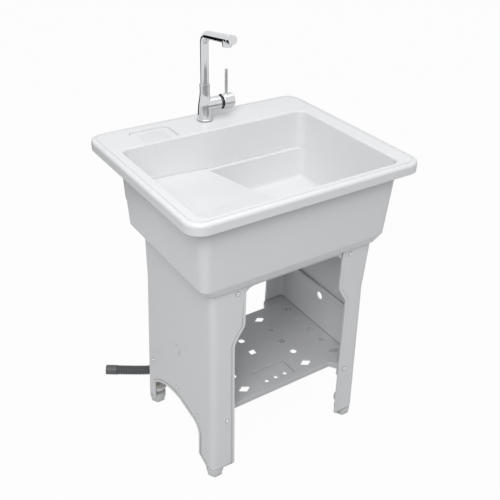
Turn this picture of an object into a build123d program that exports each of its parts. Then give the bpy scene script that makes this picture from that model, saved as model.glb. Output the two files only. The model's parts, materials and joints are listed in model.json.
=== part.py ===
from build123d import *
from math import asin, cos, pi, radians, sin, sqrt, tan
import os

# Utility laundry sink: a moulded tub with a washboard and a deep bowl, on a
# moulded stand with a shelf, with a chrome single-lever tap and a ribbed drain hose.
# Millimetres. X is to the right, Y to the back and Z up; the origin is on the floor,
# under the middle of the rim.

os.makedirs("parts", exist_ok=True)

# ---------------------------------------------------------------- driving sizes
# Rim of the tub
rim_length = 600.0
rim_depth = 512.0
rim_top = 773.0
lip_height = 25.0
lip_wall = 4.0
deck_plate = 5.0
rim_corner_radius = 40.0
lip_edge_radius = 8.0
groove_inset = 11.0
groove_width = 2.0
groove_depth = 0.8

# Basin: the land is the flat rim between the outer edge and the opening
land_left = 35.0
land_right = 52.0
land_front = 25.0
deck_width = 118.0
basin_depth = 183.0
ledge_depth = 98.0
ledge_width = 12.0
tub_wall = 4.0
draft_left = 10.0
draft_right = 8.0
draft_front = 14.0
draft_back = 4.0
opening_corner_radius = 22.0
floor_corner_radius = 16.0
opening_edge_radius = 4.0
bowl_floor_fillet = 12.0

# Washboard: its drop edge runs slantwise over the tub
washboard_length = 220.6
drop_edge_slant = 13.8
drop_wall_draft = 8.0
drop_edge_radius = 7.0
washboard_crown = 9.0
crown_reach = 300.0
crown_middle_rise = 6.5
crown_middle_reach = 100.0
crown_overrun = 50.0
crown_overrun_drop = 3.0
ramp_rise = 18.0
ramp_run = 166.5
ramp_fall_x = 7.0

# Apron round the basin, down to the edge that hangs over the stand
apron_gap_top = 14.0
apron_back_draft = 4.0
apron_step = 6.0
apron_step_depth = 121.0
shoulder_depth = 188.0
skirt_depth = 211.0
shoulder_left = 19.0
shoulder_right = 16.0
shoulder_front = 10.0
shoulder_back = 4.0
seat_ledge_width = 14.0

# Soap tray in the back deck, placed from the rim's left and back edges
soap_left_inset = 89.0
soap_back_inset = 34.0
soap_length = 105.0
soap_width = 80.0
soap_depth = 4.0
soap_corner_radius = 18.0
soap_floor = 4.0
soap_dip_start = 10.0
soap_dip_length = 66.0
soap_ridge_count = 6
soap_ridge_width = 2.0
soap_ridge_height = 0.7

# Stand: two moulded side panels, each bent round its two legs. Its top passes
# through the mouth of the tub's skirt with these gaps, and narrows to a waist
stand_gap_left = 4.2
stand_gap_right = 1.3
stand_gap_front = 0.6
stand_gap_back = 12.0
leg_bottom = 28.0
waist_height = 425.0
waist_inset_side = 5.5
waist_inset_front = 6.0
waist_spread_back = 10.0
foot_spread_side = 6.5
foot_spread_front = 7.0
foot_spread_back = 18.0
panel_wall = 4.0
panel_corner_radius = 18.0
return_width_top = 91.0
return_width_leg = 65.0
return_step_top = 448.0
return_step_bottom = 403.0
return_step_radius = 28.0
hem_width = 6.0
hem_depth = 1.3
arch_back_inset = 44.0
arch_back_lean = 3.0
arch_back_z = 88.0
arch_middle_run = 75.0
arch_middle_z = 134.0
arch_peak_inset = 162.0
arch_top = 146.0
arch_front_inset = 62.0
arch_front_z = 132.0
arch_corner_radius = 34.0
leg_bevel_z = 41.0
leg_bevel_run = 36.0
side_hole_diameter = 23.0
side_hole_inset = 173.0
side_hole_z = 298.0
inner_rib_z = 330.0
inner_rib_depth = 9.0
inner_rib_thickness = 4.0
inner_rib_front_inset = 62.0
inner_rib_back_inset = 90.0
plug_clearance = 0.05
plug_head_diameter = 27.0
plug_head_thickness = 1.6
plug_edge_radius = 0.8

# Beams between the panels
beam_thickness = 4.0
beam_height = 34.0
beam_gusset_height = 84.0
beam_gusset_margin = 2.5
beam_gusset_radius = 28.0
beam_end_margin = 2.0
beam_flange_width = 16.0
beam_flange_thickness = 3.0
joint_gap = 0.3

# Screws
screw_head_diameter = 10.0
screw_head_height = 2.6
screw_head_edge = 1.3
screw_shank_diameter = 4.0
screw_shank_length = 12.0
screw_hole_clearance = 0.25
screw_slot_length = 6.0
screw_slot_width = 1.2
screw_slot_depth = 1.2
frame_screw_inset = 22.0
frame_screw_z = 545.0
shelf_screw_inset = 19.0
shelf_screw_z = 179.0
side_screw_insets = (72.0, 178.0)
side_screw_back_inset = 44.0
side_screw_heights = (160.0, 172.0, 165.0)

# Shelf
shelf_top = 195.5
shelf_thickness = 3.0
shelf_flange_depth = 15.0
shelf_tab_depth = 34.0
shelf_tab_width = 40.0
side_tab_depth = 46.0
side_tab_width = 26.0
shelf_corner_radius = 16.0
shelf_front_inset = 21.0
shelf_back_inset = 28.0
shelf_front_notch_half = 150.0
shelf_back_notch_half = 141.0
shelf_notch_slope = 14.0
shelf_notch_radius = 7.0
hole_column_margin = 29.0
hole_front_margin = 53.75
hole_back_margin = 66.1
diamond_length = 36.0
diamond_width = 24.0
round_hole_diameter = 18.0
square_hole_side = 18.0
tray_length = 103.0
tray_width = 59.0
tray_depth = 5.0
tray_corner_radius = 6.0
tray_inset = 65.25
tray_hole_diameter = 11.0
tray_hole_pitch = 28.0
tray_hole_inset = 52.75

# Levelling feet
foot_inset = 21.0
foot_pad_across = 36.0
foot_pad_height = 12.0
foot_pad_edge = 3.0
foot_collar_diameter = 43.0
foot_collar_height = 14.0
foot_collar_edge = 1.75
foot_stem_diameter = 10.0
foot_stem_top = 66.0
foot_thread_clearance = 0.05
leg_web_diameter = 50.0
leg_web_thickness = 8.0
leg_web_bottom = 45.0
insert_diameter = 16.0
insert_flange_diameter = 24.0
insert_flange_thickness = 3.0

# Drain in the bowl floor
drain_right_inset = 100.0
drain_front_inset = 157.0
drain_hole_diameter = 64.0
drain_flange_diameter = 84.0
drain_flange_thickness = 1.6
drain_gasket_thickness = 2.0
drain_throat_diameter = 58.0
drain_thread_wall = 2.5
drain_cup_diameter = 70.0
drain_cup_wall = 2.5
drain_cup_depth = 63.0
drain_bolt_diameter = 6.0
drain_bolt_head_diameter = 12.0
drain_bolt_head_height = 4.0
drain_throat_depth = 34.0
drain_spider_thickness = 3.0
drain_spider_width = 6.0
drain_boss_diameter = 14.0
basket_wall = 1.2
basket_depth = 26.0
basket_side_gap = 0.6
basket_hole_diameter = 4.0
basket_hole_count = 16
basket_hole_inset = 5.7
basket_lip_width = 4.0
knob_diameter = 9.0
knob_height = 12.0
knob_edge_radius = 2.25
knob_pin_diameter = 3.0
basket_seal_diameter = 31.2
basket_seal_thickness = 2.0
outlet_z = 538.0
outlet_reach = 60.0
outlet_outer_diameter = 32.0
outlet_bore_diameter = 19.0
outlet_length = 14.0
tail_nut_across = 40.0
tail_nut_length = 13.0
tail_collar_diameter = 28.0
tail_spigot_length = 24.0

# Ribbed drain hose
hose_crest_diameter = 28.0
hose_root_diameter = 24.0
hose_bore_diameter = 20.0
hose_pitch = 5.0
hose_first_run = 74.0
hose_bend_share = 0.45
hose_fit_gap = 0.3
cuff_length = 32.0
cuff_wall = 3.0
cuff_edge_radius = 0.75
clamp_width = 9.0
clamp_thickness = 1.0
clamp_offset = 6.0
clamp_screw_height = 6.0
clamp_screw_length = 13.5

# Tap
tap_x = -5.0
tap_back_inset = 51.0
tap_hole_diameter = 33.0
tap_gasket_thickness = 1.5
tap_base_diameter = 39.0
tap_base_height = 4.0
tap_base_step = 1.2
tap_waist_diameter = 33.6
tap_waist_height = 33.0
tap_neck_diameter = 24.4
tap_neck_height = 73.0
tap_body_height = 87.0
tap_chamber_diameter = 14.0
valve_axis_height = 38.5
valve_body_diameter = 34.0
valve_body_reach = 41.0
valve_bore_start = 19.0
valve_edge_radius = 1.0
spout_socket_diameter = 18.0
spout_socket_depth = 34.0
spout_fit_clearance = 0.05
shank_diameter = 30.0
shank_wall = 3.0
shank_length = 46.0
shank_socket_depth = 8.0
mounting_washer_diameter = 50.0
mounting_washer_thickness = 3.0
mounting_nut_across = 46.0
mounting_nut_height = 9.0
inlet_spacing = 12.0
inlet_diameter = 10.0
inlet_depth = 9.0

# Spout
collar_height = 6.0
collar_diameter = 25.0
collar_gap = 0.2
spout_diameter = 20.0
spout_bore = 12.0
spout_arm_height = 212.0
spout_bend_radius = 24.0
spout_arm_reach = 117.0
spout_end_edge = 3.0
oring_section = 1.4
oring_groove_width = 2.2
oring_depths = (9.0, 18.0)
clip_thickness = 1.2
clip_width = 1.8
clip_groove_margin = 0.25
clip_depth = 30.0
spout_arm_rise = 7.5
spout_end_width = 23.0
spout_end_height = 21.0
aerator_reach = 103.0
aerator_diameter = 22.0
aerator_height = 4.0
aerator_thread_height = 8.0
aerator_wall = 2.0
aerator_boss_diameter = 23.0
aerator_face_height = 212.5
aerator_mesh_thickness = 2.0
aerator_hole_diameter = 1.8

# Lever handle on the +X side; it tilts about a pin and turns about the valve's axis
pivot_offset = 51.0
ball_radius = 15.0
ball_wall = 2.5
ball_gap = 1.0
cap_diameter = 38.5
cap_rear_offset = 48.0
cap_end_offset = 79.0
cap_edge_radius = 4.0
cartridge_diameter = 26.0
cartridge_wall = 2.5
ball_skirt = 2.0
driver_clearance = 0.05
driver_length = 14.0
driver_neck_diameter = 14.4
driver_ear_reach = 4.0
stem_neck_margin = 1.0
hub_width = 8.0
ear_gap = 0.3
tilt_pin_diameter = 3.0
stem_diameter = 9.0
stem_length = 27.0
stem_arm_diameter = 5.0
stem_arm_length = 16.0
flow_range = 20.0
lever_offset = 62.0
lever_diameter = 7.5
lever_length = 64.0
lever_edge_radius = 1.25
lever_seat_depth = 0.8
lever_thread_diameter = 5.0
lever_thread_length = 5.5
grub_diameter = 4.0
grub_offset = 70.0


# ---------------------------------------------------------------- worked-out sizes
deck_underside = rim_top - deck_plate
lip_bottom = rim_top - lip_height
floor_top = rim_top - basin_depth
floor_underside = floor_top - tub_wall
ledge_z = rim_top - ledge_depth
apron_step_z = rim_top - apron_step_depth
shoulder_z = rim_top - shoulder_depth
skirt_bottom = rim_top - skirt_depth
stand_top = floor_underside - 2.0
cut_margin = 1.0


def basin_sides(z):
    """Left, right and front inner faces of the basin at a height."""
    share = (rim_top - z) / basin_depth
    left = -rim_length / 2 + land_left + draft_left * share
    right = rim_length / 2 - land_right - draft_right * share
    front = -rim_depth / 2 + land_front + draft_front * share
    return left, right, front


def basin_back(z, lower):
    """Back inner face of the basin, above or below its ledge."""
    top = rim_depth / 2 - deck_width
    if not lower:
        return top - draft_back * (rim_top - z) / ledge_depth
    return top - draft_back - ledge_width - draft_back * (ledge_z - z) / (ledge_z - floor_top)


def basin_radius(z):
    """Plan radius of the basin's corners at a height."""
    share = (rim_top - z) / basin_depth
    return opening_corner_radius + (floor_corner_radius - opening_corner_radius) * share


def apron_back(z):
    """Outer back face of the apron, with its small step."""
    top = rim_depth / 2 - deck_width + tub_wall + apron_gap_top
    step_y = top - apron_back_draft
    if z >= apron_step_z:
        return step_y + apron_back_draft * (z - apron_step_z) / (lip_bottom - apron_step_z)
    low = apron_step_z - apron_step
    if z >= low:
        return step_y - (apron_step_z - z)
    foot_y = step_y - apron_step
    if z >= shoulder_z:
        return foot_y - apron_back_draft * (low - z) / (low - shoulder_z)
    share = (shoulder_z - z) / (shoulder_z - skirt_bottom)
    return foot_y - apron_back_draft - shoulder_back * share


def plan(left, right, front, back, radius, z):
    """A rounded rectangle between four sides, drawn at a height."""
    with BuildSketch(Plane.XY.offset(z)) as outline:
        with Locations(((left + right) / 2, (front + back) / 2)):
            RectangleRounded(right - left, back - front, radius)
    return outline.sketch


def basin_plan(z, lower, grow=0.0, grow_back=0.0):
    """The basin's inside at a height, grown sideways for the faces round it."""
    left, right, front = basin_sides(z)
    back = basin_back(z, lower)
    return plan(left - grow, right + grow, front - grow, back + grow_back, basin_radius(z) + grow, z)


def apron_sides(z, inset):
    """Left, right, front and back faces of the apron at a height, less an inset."""
    left, right, front = basin_sides(max(z, shoulder_z))
    share = max(0.0, (shoulder_z - z) / (shoulder_z - skirt_bottom))
    left += shoulder_left * share - tub_wall + inset
    right -= shoulder_right * share - tub_wall + inset
    front += shoulder_front * share - tub_wall + inset
    return left, right, front, apron_back(z) - inset


def apron_plan(z, inset):
    """The apron's outside at a height, less an inset."""
    return plan(*apron_sides(z, inset), basin_radius(z) + tub_wall - inset, z)


# The stand's top, waist and leg ends, from the mouth of the skirt
skirt_left, skirt_right, skirt_front, skirt_back = apron_sides(skirt_bottom, tub_wall)
stand_left_top = skirt_left + stand_gap_left
stand_right_top = skirt_right - stand_gap_right
stand_centre_x = (stand_left_top + stand_right_top) / 2
stand_half_top = (stand_right_top - stand_left_top) / 2
stand_half_waist = stand_half_top - waist_inset_side
stand_half_bottom = stand_half_waist + foot_spread_side
stand_front_top = skirt_front + stand_gap_front
stand_front_waist = stand_front_top + waist_inset_front
stand_front_bottom = stand_front_waist - foot_spread_front
stand_back_top = skirt_back - stand_gap_back
stand_back_waist = stand_back_top + waist_spread_back
stand_back_bottom = stand_back_waist + foot_spread_back


# ---------------------------------------------------------------- tub
slant = radians(drop_edge_slant)
ledge_sides = basin_sides(ledge_z)
ramp_start_y = ledge_sides[2] + ramp_run
drop_edge = Vector(ledge_sides[0] + washboard_length, basin_back(ledge_z, True), ledge_z)
drop_out = Vector(cos(slant), sin(slant), 0)
drop_along = Vector(sin(slant), -cos(slant), 0)


def drop_plane(shift):
    """Face of the drop wall, moved to the washboard's side by a shift."""
    draft = radians(drop_wall_draft)
    normal = Vector(drop_out.X * cos(draft), drop_out.Y * cos(draft), sin(draft))
    return Plane(origin=drop_edge - drop_out * shift, z_dir=normal)


def washboard_block(shift):
    """Everything under the washboard's face, lowered and narrowed by a shift."""
    top_plane = Plane(origin=drop_edge - drop_along * rim_depth, x_dir=drop_out, z_dir=drop_along)
    side = 1 if top_plane.y_dir.Z > 0 else -1
    depth = shoulder_depth
    edge_level = -shift
    ramp_angle = asin(ramp_fall_x / rim_length)
    ramp_plane = Plane(
        origin=(-rim_length / 2, ramp_start_y, ledge_z + washboard_crown - shift),
        x_dir=(0, -1, 0),
        z_dir=(cos(ramp_angle), 0, -sin(ramp_angle)),
    )
    ramp_side = 1 if ramp_plane.y_dir.Z > 0 else -1
    ramp_length = ramp_start_y + rim_depth / 2
    with BuildPart() as block:
        with BuildSketch(top_plane):
            with BuildLine():
                crown = ThreePointArc(
                    (crown_overrun, side * (edge_level - crown_overrun_drop)),
                    (-crown_middle_reach, side * (edge_level + crown_middle_rise)),
                    (-crown_reach, side * (edge_level + washboard_crown)),
                )
                Polyline(
                    crown @ 1,
                    (-crown_reach, -side * depth),
                    (crown_overrun, -side * depth),
                    crown @ 0,
                )
            make_face()
        extrude(amount=rim_depth * 2)
        with BuildSketch(ramp_plane):
            with BuildLine():
                Polyline(
                    (0, 0),
                    (ramp_length, ramp_side * ramp_rise),
                    (ramp_length, -ramp_side * depth),
                    (0, -ramp_side * depth),
                    close=True,
                )
            make_face()
        extrude(amount=rim_length)
        split(bisect_by=drop_plane(shift), keep=Keep.BOTTOM)
        drop_wall = block.faces().filter_by(drop_plane(shift))[0]
        drop_edges = drop_wall.edges().filter_by_position(
            Axis.Z, ledge_z - shift - washboard_crown, rim_top + rim_depth
        )
        fillet(drop_edges, drop_edge_radius - shift)
    return block.part


with BuildPart() as washboard_solid:
    add(washboard_block(0))

with BuildPart() as basin_cavity:
    loft(sections=[basin_plan(ledge_z, False), basin_plan(rim_top + cut_margin, False)], ruled=True)
    loft(sections=[basin_plan(floor_top, True), basin_plan(ledge_z, True)], ruled=True)
    add(washboard_solid.part, mode=Mode.SUBTRACT)
    bowl_edges = basin_cavity.faces().sort_by(Axis.Z)[0].edges()
    fillet(bowl_edges, bowl_floor_fillet)

with BuildPart() as basin_outside:
    loft(
        sections=[
            basin_plan(floor_underside, True, 2 * tub_wall, tub_wall),
            basin_plan(ledge_z - tub_wall, True, 2 * tub_wall, tub_wall),
        ],
        ruled=True,
    )
    loft(
        sections=[
            basin_plan(ledge_z - tub_wall, False, 2 * tub_wall, tub_wall),
            basin_plan(deck_underside + cut_margin, False, 2 * tub_wall, tub_wall),
        ],
        ruled=True,
    )
    add(washboard_block(tub_wall), mode=Mode.SUBTRACT)

apron_heights = (
    skirt_bottom,
    shoulder_z,
    apron_step_z - apron_step,
    apron_step_z,
    deck_underside,
)

with BuildPart() as apron_inside:
    inside_heights = (skirt_bottom - cut_margin,) + apron_heights[1:]
    loft(sections=[apron_plan(z, tub_wall) for z in inside_heights], ruled=True)
    add(basin_outside.part, mode=Mode.SUBTRACT)
    with BuildSketch(Plane.XY.offset(stand_top)):
        Rectangle(rim_length, rim_depth)
        with Locations((stand_centre_x, (stand_front_top + stand_back_top) / 2)):
            RectangleRounded(
                2 * (stand_half_top - seat_ledge_width),
                stand_back_top - stand_front_top - 2 * seat_ledge_width,
                panel_corner_radius,
                mode=Mode.SUBTRACT,
            )
    extrude(amount=floor_top - stand_top, mode=Mode.SUBTRACT)

soap_left = -rim_length / 2 + soap_left_inset
soap_back = rim_depth / 2 - soap_back_inset
soap_front = soap_back - soap_width
soap_centre = (soap_left + soap_length / 2, soap_back - soap_width / 2)
soap_dip_x = soap_left + soap_dip_start + soap_dip_length / 2
tap_y = rim_depth / 2 - tap_back_inset
floor_sides = basin_sides(floor_top)
drain_x = floor_sides[1] - drain_right_inset
drain_y = floor_sides[2] + drain_front_inset

with BuildPart() as tub:
    with BuildSketch(Plane.XY.offset(lip_bottom)):
        RectangleRounded(rim_length, rim_depth, rim_corner_radius)
    extrude(amount=lip_height)
    fillet(tub.faces().sort_by(Axis.Z)[-1].edges(), lip_edge_radius)
    with BuildSketch(Plane.XY.offset(lip_bottom)):
        RectangleRounded(
            rim_length - 2 * lip_wall, rim_depth - 2 * lip_wall, rim_corner_radius - lip_wall
        )
    extrude(amount=lip_height - deck_plate, mode=Mode.SUBTRACT)
    loft(sections=[apron_plan(z, 0) for z in apron_heights], ruled=True)
    with BuildSketch(Plane.XY.offset(rim_top - soap_depth - soap_floor)):
        with Locations(soap_centre):
            RectangleRounded(
                soap_length + 2 * tub_wall, soap_width + 2 * tub_wall, soap_corner_radius + tub_wall
            )
    extrude(amount=soap_floor)
    add(basin_cavity.part, mode=Mode.SUBTRACT)
    add(apron_inside.part, mode=Mode.SUBTRACT)
    # The fine groove that runs round the top of the rim
    with BuildSketch(Plane.XY.offset(rim_top)):
        RectangleRounded(
            rim_length - 2 * groove_inset,
            rim_depth - 2 * groove_inset,
            rim_corner_radius - groove_inset,
        )
        RectangleRounded(
            rim_length - 2 * groove_inset - 2 * groove_width,
            rim_depth - 2 * groove_inset - 2 * groove_width,
            rim_corner_radius - groove_inset - groove_width,
            mode=Mode.SUBTRACT,
        )
    extrude(amount=-groove_depth, mode=Mode.SUBTRACT)
    # The softened edge of the basin's opening
    opening_left, opening_right, opening_front = basin_sides(rim_top - cut_margin)
    opening_back = rim_depth / 2 - deck_width
    opening_edges = (
        tub.edges()
        .group_by(Axis.Z)[-1]
        .filter_by_position(Axis.X, opening_left - tub_wall, opening_right + tub_wall)
        .filter_by_position(Axis.Y, opening_front - tub_wall, opening_back + tub_wall)
    )
    fillet(opening_edges, opening_edge_radius)
    # Soap tray, with its ridges and the dip that drains it into the basin
    with BuildSketch(Plane.XY.offset(rim_top - soap_depth)):
        with Locations(soap_centre):
            RectangleRounded(soap_length, soap_width, soap_corner_radius)
    extrude(amount=soap_depth, mode=Mode.SUBTRACT)
    soap_dip_run = soap_front - (rim_depth / 2 - deck_width) + 2 * tub_wall
    with BuildSketch(Plane.XY.offset(rim_top - soap_depth / 2)):
        with Locations((soap_dip_x, soap_front)):
            Rectangle(soap_dip_length, 2 * soap_dip_run)
    extrude(amount=soap_depth, mode=Mode.SUBTRACT)
    soap_ridge_pitch = (soap_width - 2 * soap_corner_radius) / (soap_ridge_count - 1)
    with BuildSketch(Plane.XY.offset(rim_top - soap_depth)):
        with Locations(soap_centre):
            with GridLocations(0, soap_ridge_pitch, 1, soap_ridge_count):
                SlotOverall(soap_length - 2 * soap_corner_radius, soap_ridge_width)
    extrude(amount=soap_ridge_height)
    # Holes for the tap and the drain
    with Locations((tap_x, tap_y, rim_top)):
        Hole(tap_hole_diameter / 2, lip_height)
    with Locations((drain_x, drain_y, floor_top)):
        Hole(drain_hole_diameter / 2, tub_wall * 3)
tub.part.label = "tub"
export_step(tub.part, "parts/tub.step")


# ---------------------------------------------------------------- stand
def stand_size(z, bottom, waist, top):
    """A size of the stand at a height: straight from leg bottom to waist to top."""
    if z < waist_height:
        return waist + (bottom - waist) * (waist_height - z) / (waist_height - leg_bottom)
    return waist + (top - waist) * (z - waist_height) / (stand_top - waist_height)


def stand_half(z):
    """Half the stand's outer width at a height."""
    return stand_size(z, stand_half_bottom, stand_half_waist, stand_half_top)


def stand_front(z):
    """The stand's outer front face at a height."""
    return stand_size(z, stand_front_bottom, stand_front_waist, stand_front_top)


def stand_back(z):
    """The stand's outer back face at a height."""
    return stand_size(z, stand_back_bottom, stand_back_waist, stand_back_top)


def stand_plan(z, inset):
    """The stand's outline at a height, less an inset."""
    half = stand_half(z) - inset
    front = stand_front(z) + inset
    back = stand_back(z) - inset
    left = stand_centre_x - half
    return plan(left, left + 2 * half, front, back, panel_corner_radius - inset, z)


def stand_block(inset, heights):
    """The stand as one block, less an inset, its flat faces made true planes."""
    with BuildPart() as block:
        loft(sections=[stand_plan(z, inset) for z in heights], ruled=True)
    faces = [Face(face.outer_wire()) if face.is_planar else face for face in block.faces()]
    return Solid(Shell(faces))


def front_face(x, z, inset=0.0):
    """A plane on the stand's front face, looking forwards."""
    slope = stand_front(z + 0.5) - stand_front(z - 0.5)
    return Plane(origin=(x, stand_front(z) + inset, z), x_dir=(1, 0, 0), z_dir=(0, -1, slope))


def back_face(x, z, inset=0.0):
    """A plane on the stand's back face, looking backwards."""
    slope = stand_back(z + 0.5) - stand_back(z - 0.5)
    return Plane(origin=(x, stand_back(z) - inset, z), x_dir=(-1, 0, 0), z_dir=(0, 1, -slope))


def side_face(side, y, z, inset=0.0):
    """A plane on the stand's left (-1) or right (1) face, looking outwards."""
    slope = stand_half(z + 0.5) - stand_half(z - 0.5)
    x = stand_centre_x + side * (stand_half(z) - inset)
    return Plane(origin=(x, y, z), x_dir=(0, side, 0), z_dir=(side, 0, -slope))


stand_heights = (leg_bottom, waist_height, stand_top)
cut_heights = (leg_bottom - cut_margin, waist_height, stand_top + cut_margin)
foot_left_x = stand_centre_x - stand_half_bottom + foot_inset
foot_right_x = stand_centre_x + stand_half_bottom - foot_inset
foot_front_y = stand_front_bottom + foot_inset
foot_back_y = stand_back_bottom - foot_inset
foot_places = {
    "front_left": (foot_left_x, foot_front_y),
    "front_right": (foot_right_x, foot_front_y),
    "back_left": (foot_left_x, foot_back_y),
    "back_right": (foot_right_x, foot_back_y),
}
return_edge_top = stand_half_top - return_width_top
return_edge_leg = stand_half_bottom - return_width_leg
frame_screw_half = return_edge_top + frame_screw_inset
shelf_screw_half = return_edge_leg + shelf_screw_inset
side_screw_y = [stand_front_bottom + inset for inset in side_screw_insets]
side_screw_y.append(stand_back_bottom - side_screw_back_inset)
side_screw_places = list(zip(side_screw_y, side_screw_heights))
arch_front_y = stand_front_bottom + arch_front_inset
arch_peak_y = stand_front_bottom + arch_peak_inset
arch_back_foot_y = stand_back_bottom - arch_back_inset
arch_back_y = arch_back_foot_y - arch_back_lean
arch_middle_y = arch_back_y - arch_middle_run
side_hole_y = stand_front_bottom + side_hole_inset
inner_rib_front = stand_front_bottom + inner_rib_front_inset
inner_rib_back = stand_back_bottom - inner_rib_back_inset
frame_screw_places = [
    face(stand_centre_x + side * frame_screw_half, frame_screw_z)
    for face in (front_face, back_face)
    for side in (-1, 1)
]
shelf_screw_places = [
    face(stand_centre_x + side * shelf_screw_half, shelf_screw_z)
    for face in (front_face, back_face)
    for side in (-1, 1)
]
shelf_screw_places += [side_face(side, y, z) for side in (-1, 1) for y, z in side_screw_places]
screw_hole_radius = screw_shank_diameter / 2 + screw_hole_clearance
screw_reach = 2 * panel_wall + screw_shank_length

with BuildSketch(Plane.XZ) as return_cut:
    with BuildLine():
        Polyline(
            (stand_centre_x, 0),
            (stand_centre_x - return_edge_leg, 0),
            (stand_centre_x - return_edge_leg, return_step_bottom),
            (stand_centre_x - return_edge_top, return_step_top),
            (stand_centre_x - return_edge_top, rim_top),
            (stand_centre_x, rim_top),
            close=True,
        )
    make_face()
    step_corners = return_cut.vertices().filter_by_position(
        Axis.Y, return_step_bottom - cut_margin, return_step_top + cut_margin
    )
    fillet(step_corners, return_step_radius)

with BuildSketch(Plane.YZ.offset(stand_centre_x)) as arch_cut:
    with BuildLine():
        arch_curve = ThreePointArc(
            (arch_back_y, arch_back_z), (arch_middle_y, arch_middle_z), (arch_peak_y, arch_top)
        )
        Polyline(
            arch_curve @ 1,
            (arch_front_y, arch_front_z),
            (arch_front_y, leg_bevel_z),
            (arch_front_y - leg_bevel_run, leg_bottom),
            (arch_front_y - leg_bevel_run, 0),
            (arch_back_foot_y, 0),
            arch_curve @ 0,
        )
    make_face()
    arch_corner = arch_cut.vertices().sort_by_distance((arch_front_y, arch_front_z))[0]
    fillet(arch_corner, arch_corner_radius)

with BuildPart() as stand_inside:
    add(stand_block(panel_wall, cut_heights))

# The panels' cut edges are edged by a hem that stands back by its depth
return_hem = offset(return_cut.sketch, hem_width, mode=Mode.PRIVATE)
arch_hem = offset(arch_cut.sketch, hem_width, mode=Mode.PRIVATE)
with BuildPart() as hem_skin:
    add(stand_block(hem_depth, stand_heights))
    add(stand_inside.part, mode=Mode.SUBTRACT)
    split(bisect_by=Plane.YZ.offset(stand_centre_x), keep=Keep.BOTTOM)

with BuildPart() as leg_webs:
    with BuildSketch(Plane.XY.offset(leg_web_bottom)):
        with Locations(*foot_places.values()):
            Circle(leg_web_diameter / 2)
    extrude(amount=leg_web_thickness)
    add(stand_block(panel_wall / 2, cut_heights), mode=Mode.INTERSECT)
    split(bisect_by=Plane.YZ.offset(stand_centre_x), keep=Keep.BOTTOM)

with BuildPart() as side_panel_left:
    add(stand_block(0, stand_heights))
    add(stand_inside.part, mode=Mode.SUBTRACT)
    split(bisect_by=Plane.YZ.offset(stand_centre_x), keep=Keep.BOTTOM)
    extrude(return_hem, amount=rim_depth, both=True, mode=Mode.SUBTRACT)
    extrude(arch_hem, amount=-rim_length, mode=Mode.SUBTRACT)
    add(hem_skin.part)
    with Locations(side_face(-1, side_hole_y, side_hole_z)):
        Hole(side_hole_diameter / 2, screw_reach)
    with Locations(*frame_screw_places, *shelf_screw_places):
        Hole(screw_hole_radius, screw_reach)
    extrude(return_cut.sketch, amount=rim_depth, both=True, mode=Mode.SUBTRACT)
    extrude(arch_cut.sketch, amount=-rim_length, mode=Mode.SUBTRACT)
    with BuildSketch(Plane.XY.offset(inner_rib_z)):
        rib_outer = stand_centre_x - stand_half(inner_rib_z) + panel_wall / 2
        rib_inner = rib_outer + panel_wall / 2 + inner_rib_depth
        with Locations(((rib_outer + rib_inner) / 2, (inner_rib_front + inner_rib_back) / 2)):
            Rectangle(rib_inner - rib_outer, inner_rib_back - inner_rib_front)
    extrude(amount=inner_rib_thickness)
    add(leg_webs.part)
    with Locations(*foot_places.values()):
        Hole(insert_diameter / 2 + foot_thread_clearance, leg_web_bottom * 2)

with BuildPart() as side_panel_right:
    mirror(side_panel_left.part, about=Plane.YZ.offset(stand_centre_x))
side_panel_left.part.label = "side_panel_left"
export_step(side_panel_left.part, "parts/side_panel_left.step")
side_panel_right.part.label = "side_panel_right"
export_step(side_panel_right.part, "parts/side_panel_right.step")

# Plug in the left panel's side hole, with a slit across its head
with BuildPart() as hole_plug:
    with BuildSketch(side_face(-1, side_hole_y, side_hole_z)):
        Circle(plug_head_diameter / 2)
    extrude(amount=plug_head_thickness)
    fillet(hole_plug.faces().sort_by(Axis.X)[0].edges(), plug_edge_radius)
    with BuildSketch(side_face(-1, side_hole_y, side_hole_z)):
        Circle(side_hole_diameter / 2 - plug_clearance)
    extrude(amount=-panel_wall)
    with BuildSketch(side_face(-1, side_hole_y, side_hole_z, -plug_head_thickness)):
        SlotOverall(screw_slot_length, screw_slot_width, rotation=90)
    extrude(amount=-plug_head_thickness, mode=Mode.SUBTRACT)
hole_plug.part.label = "hole_plug"
export_step(hole_plug.part, "parts/hole_plug.step")

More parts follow.
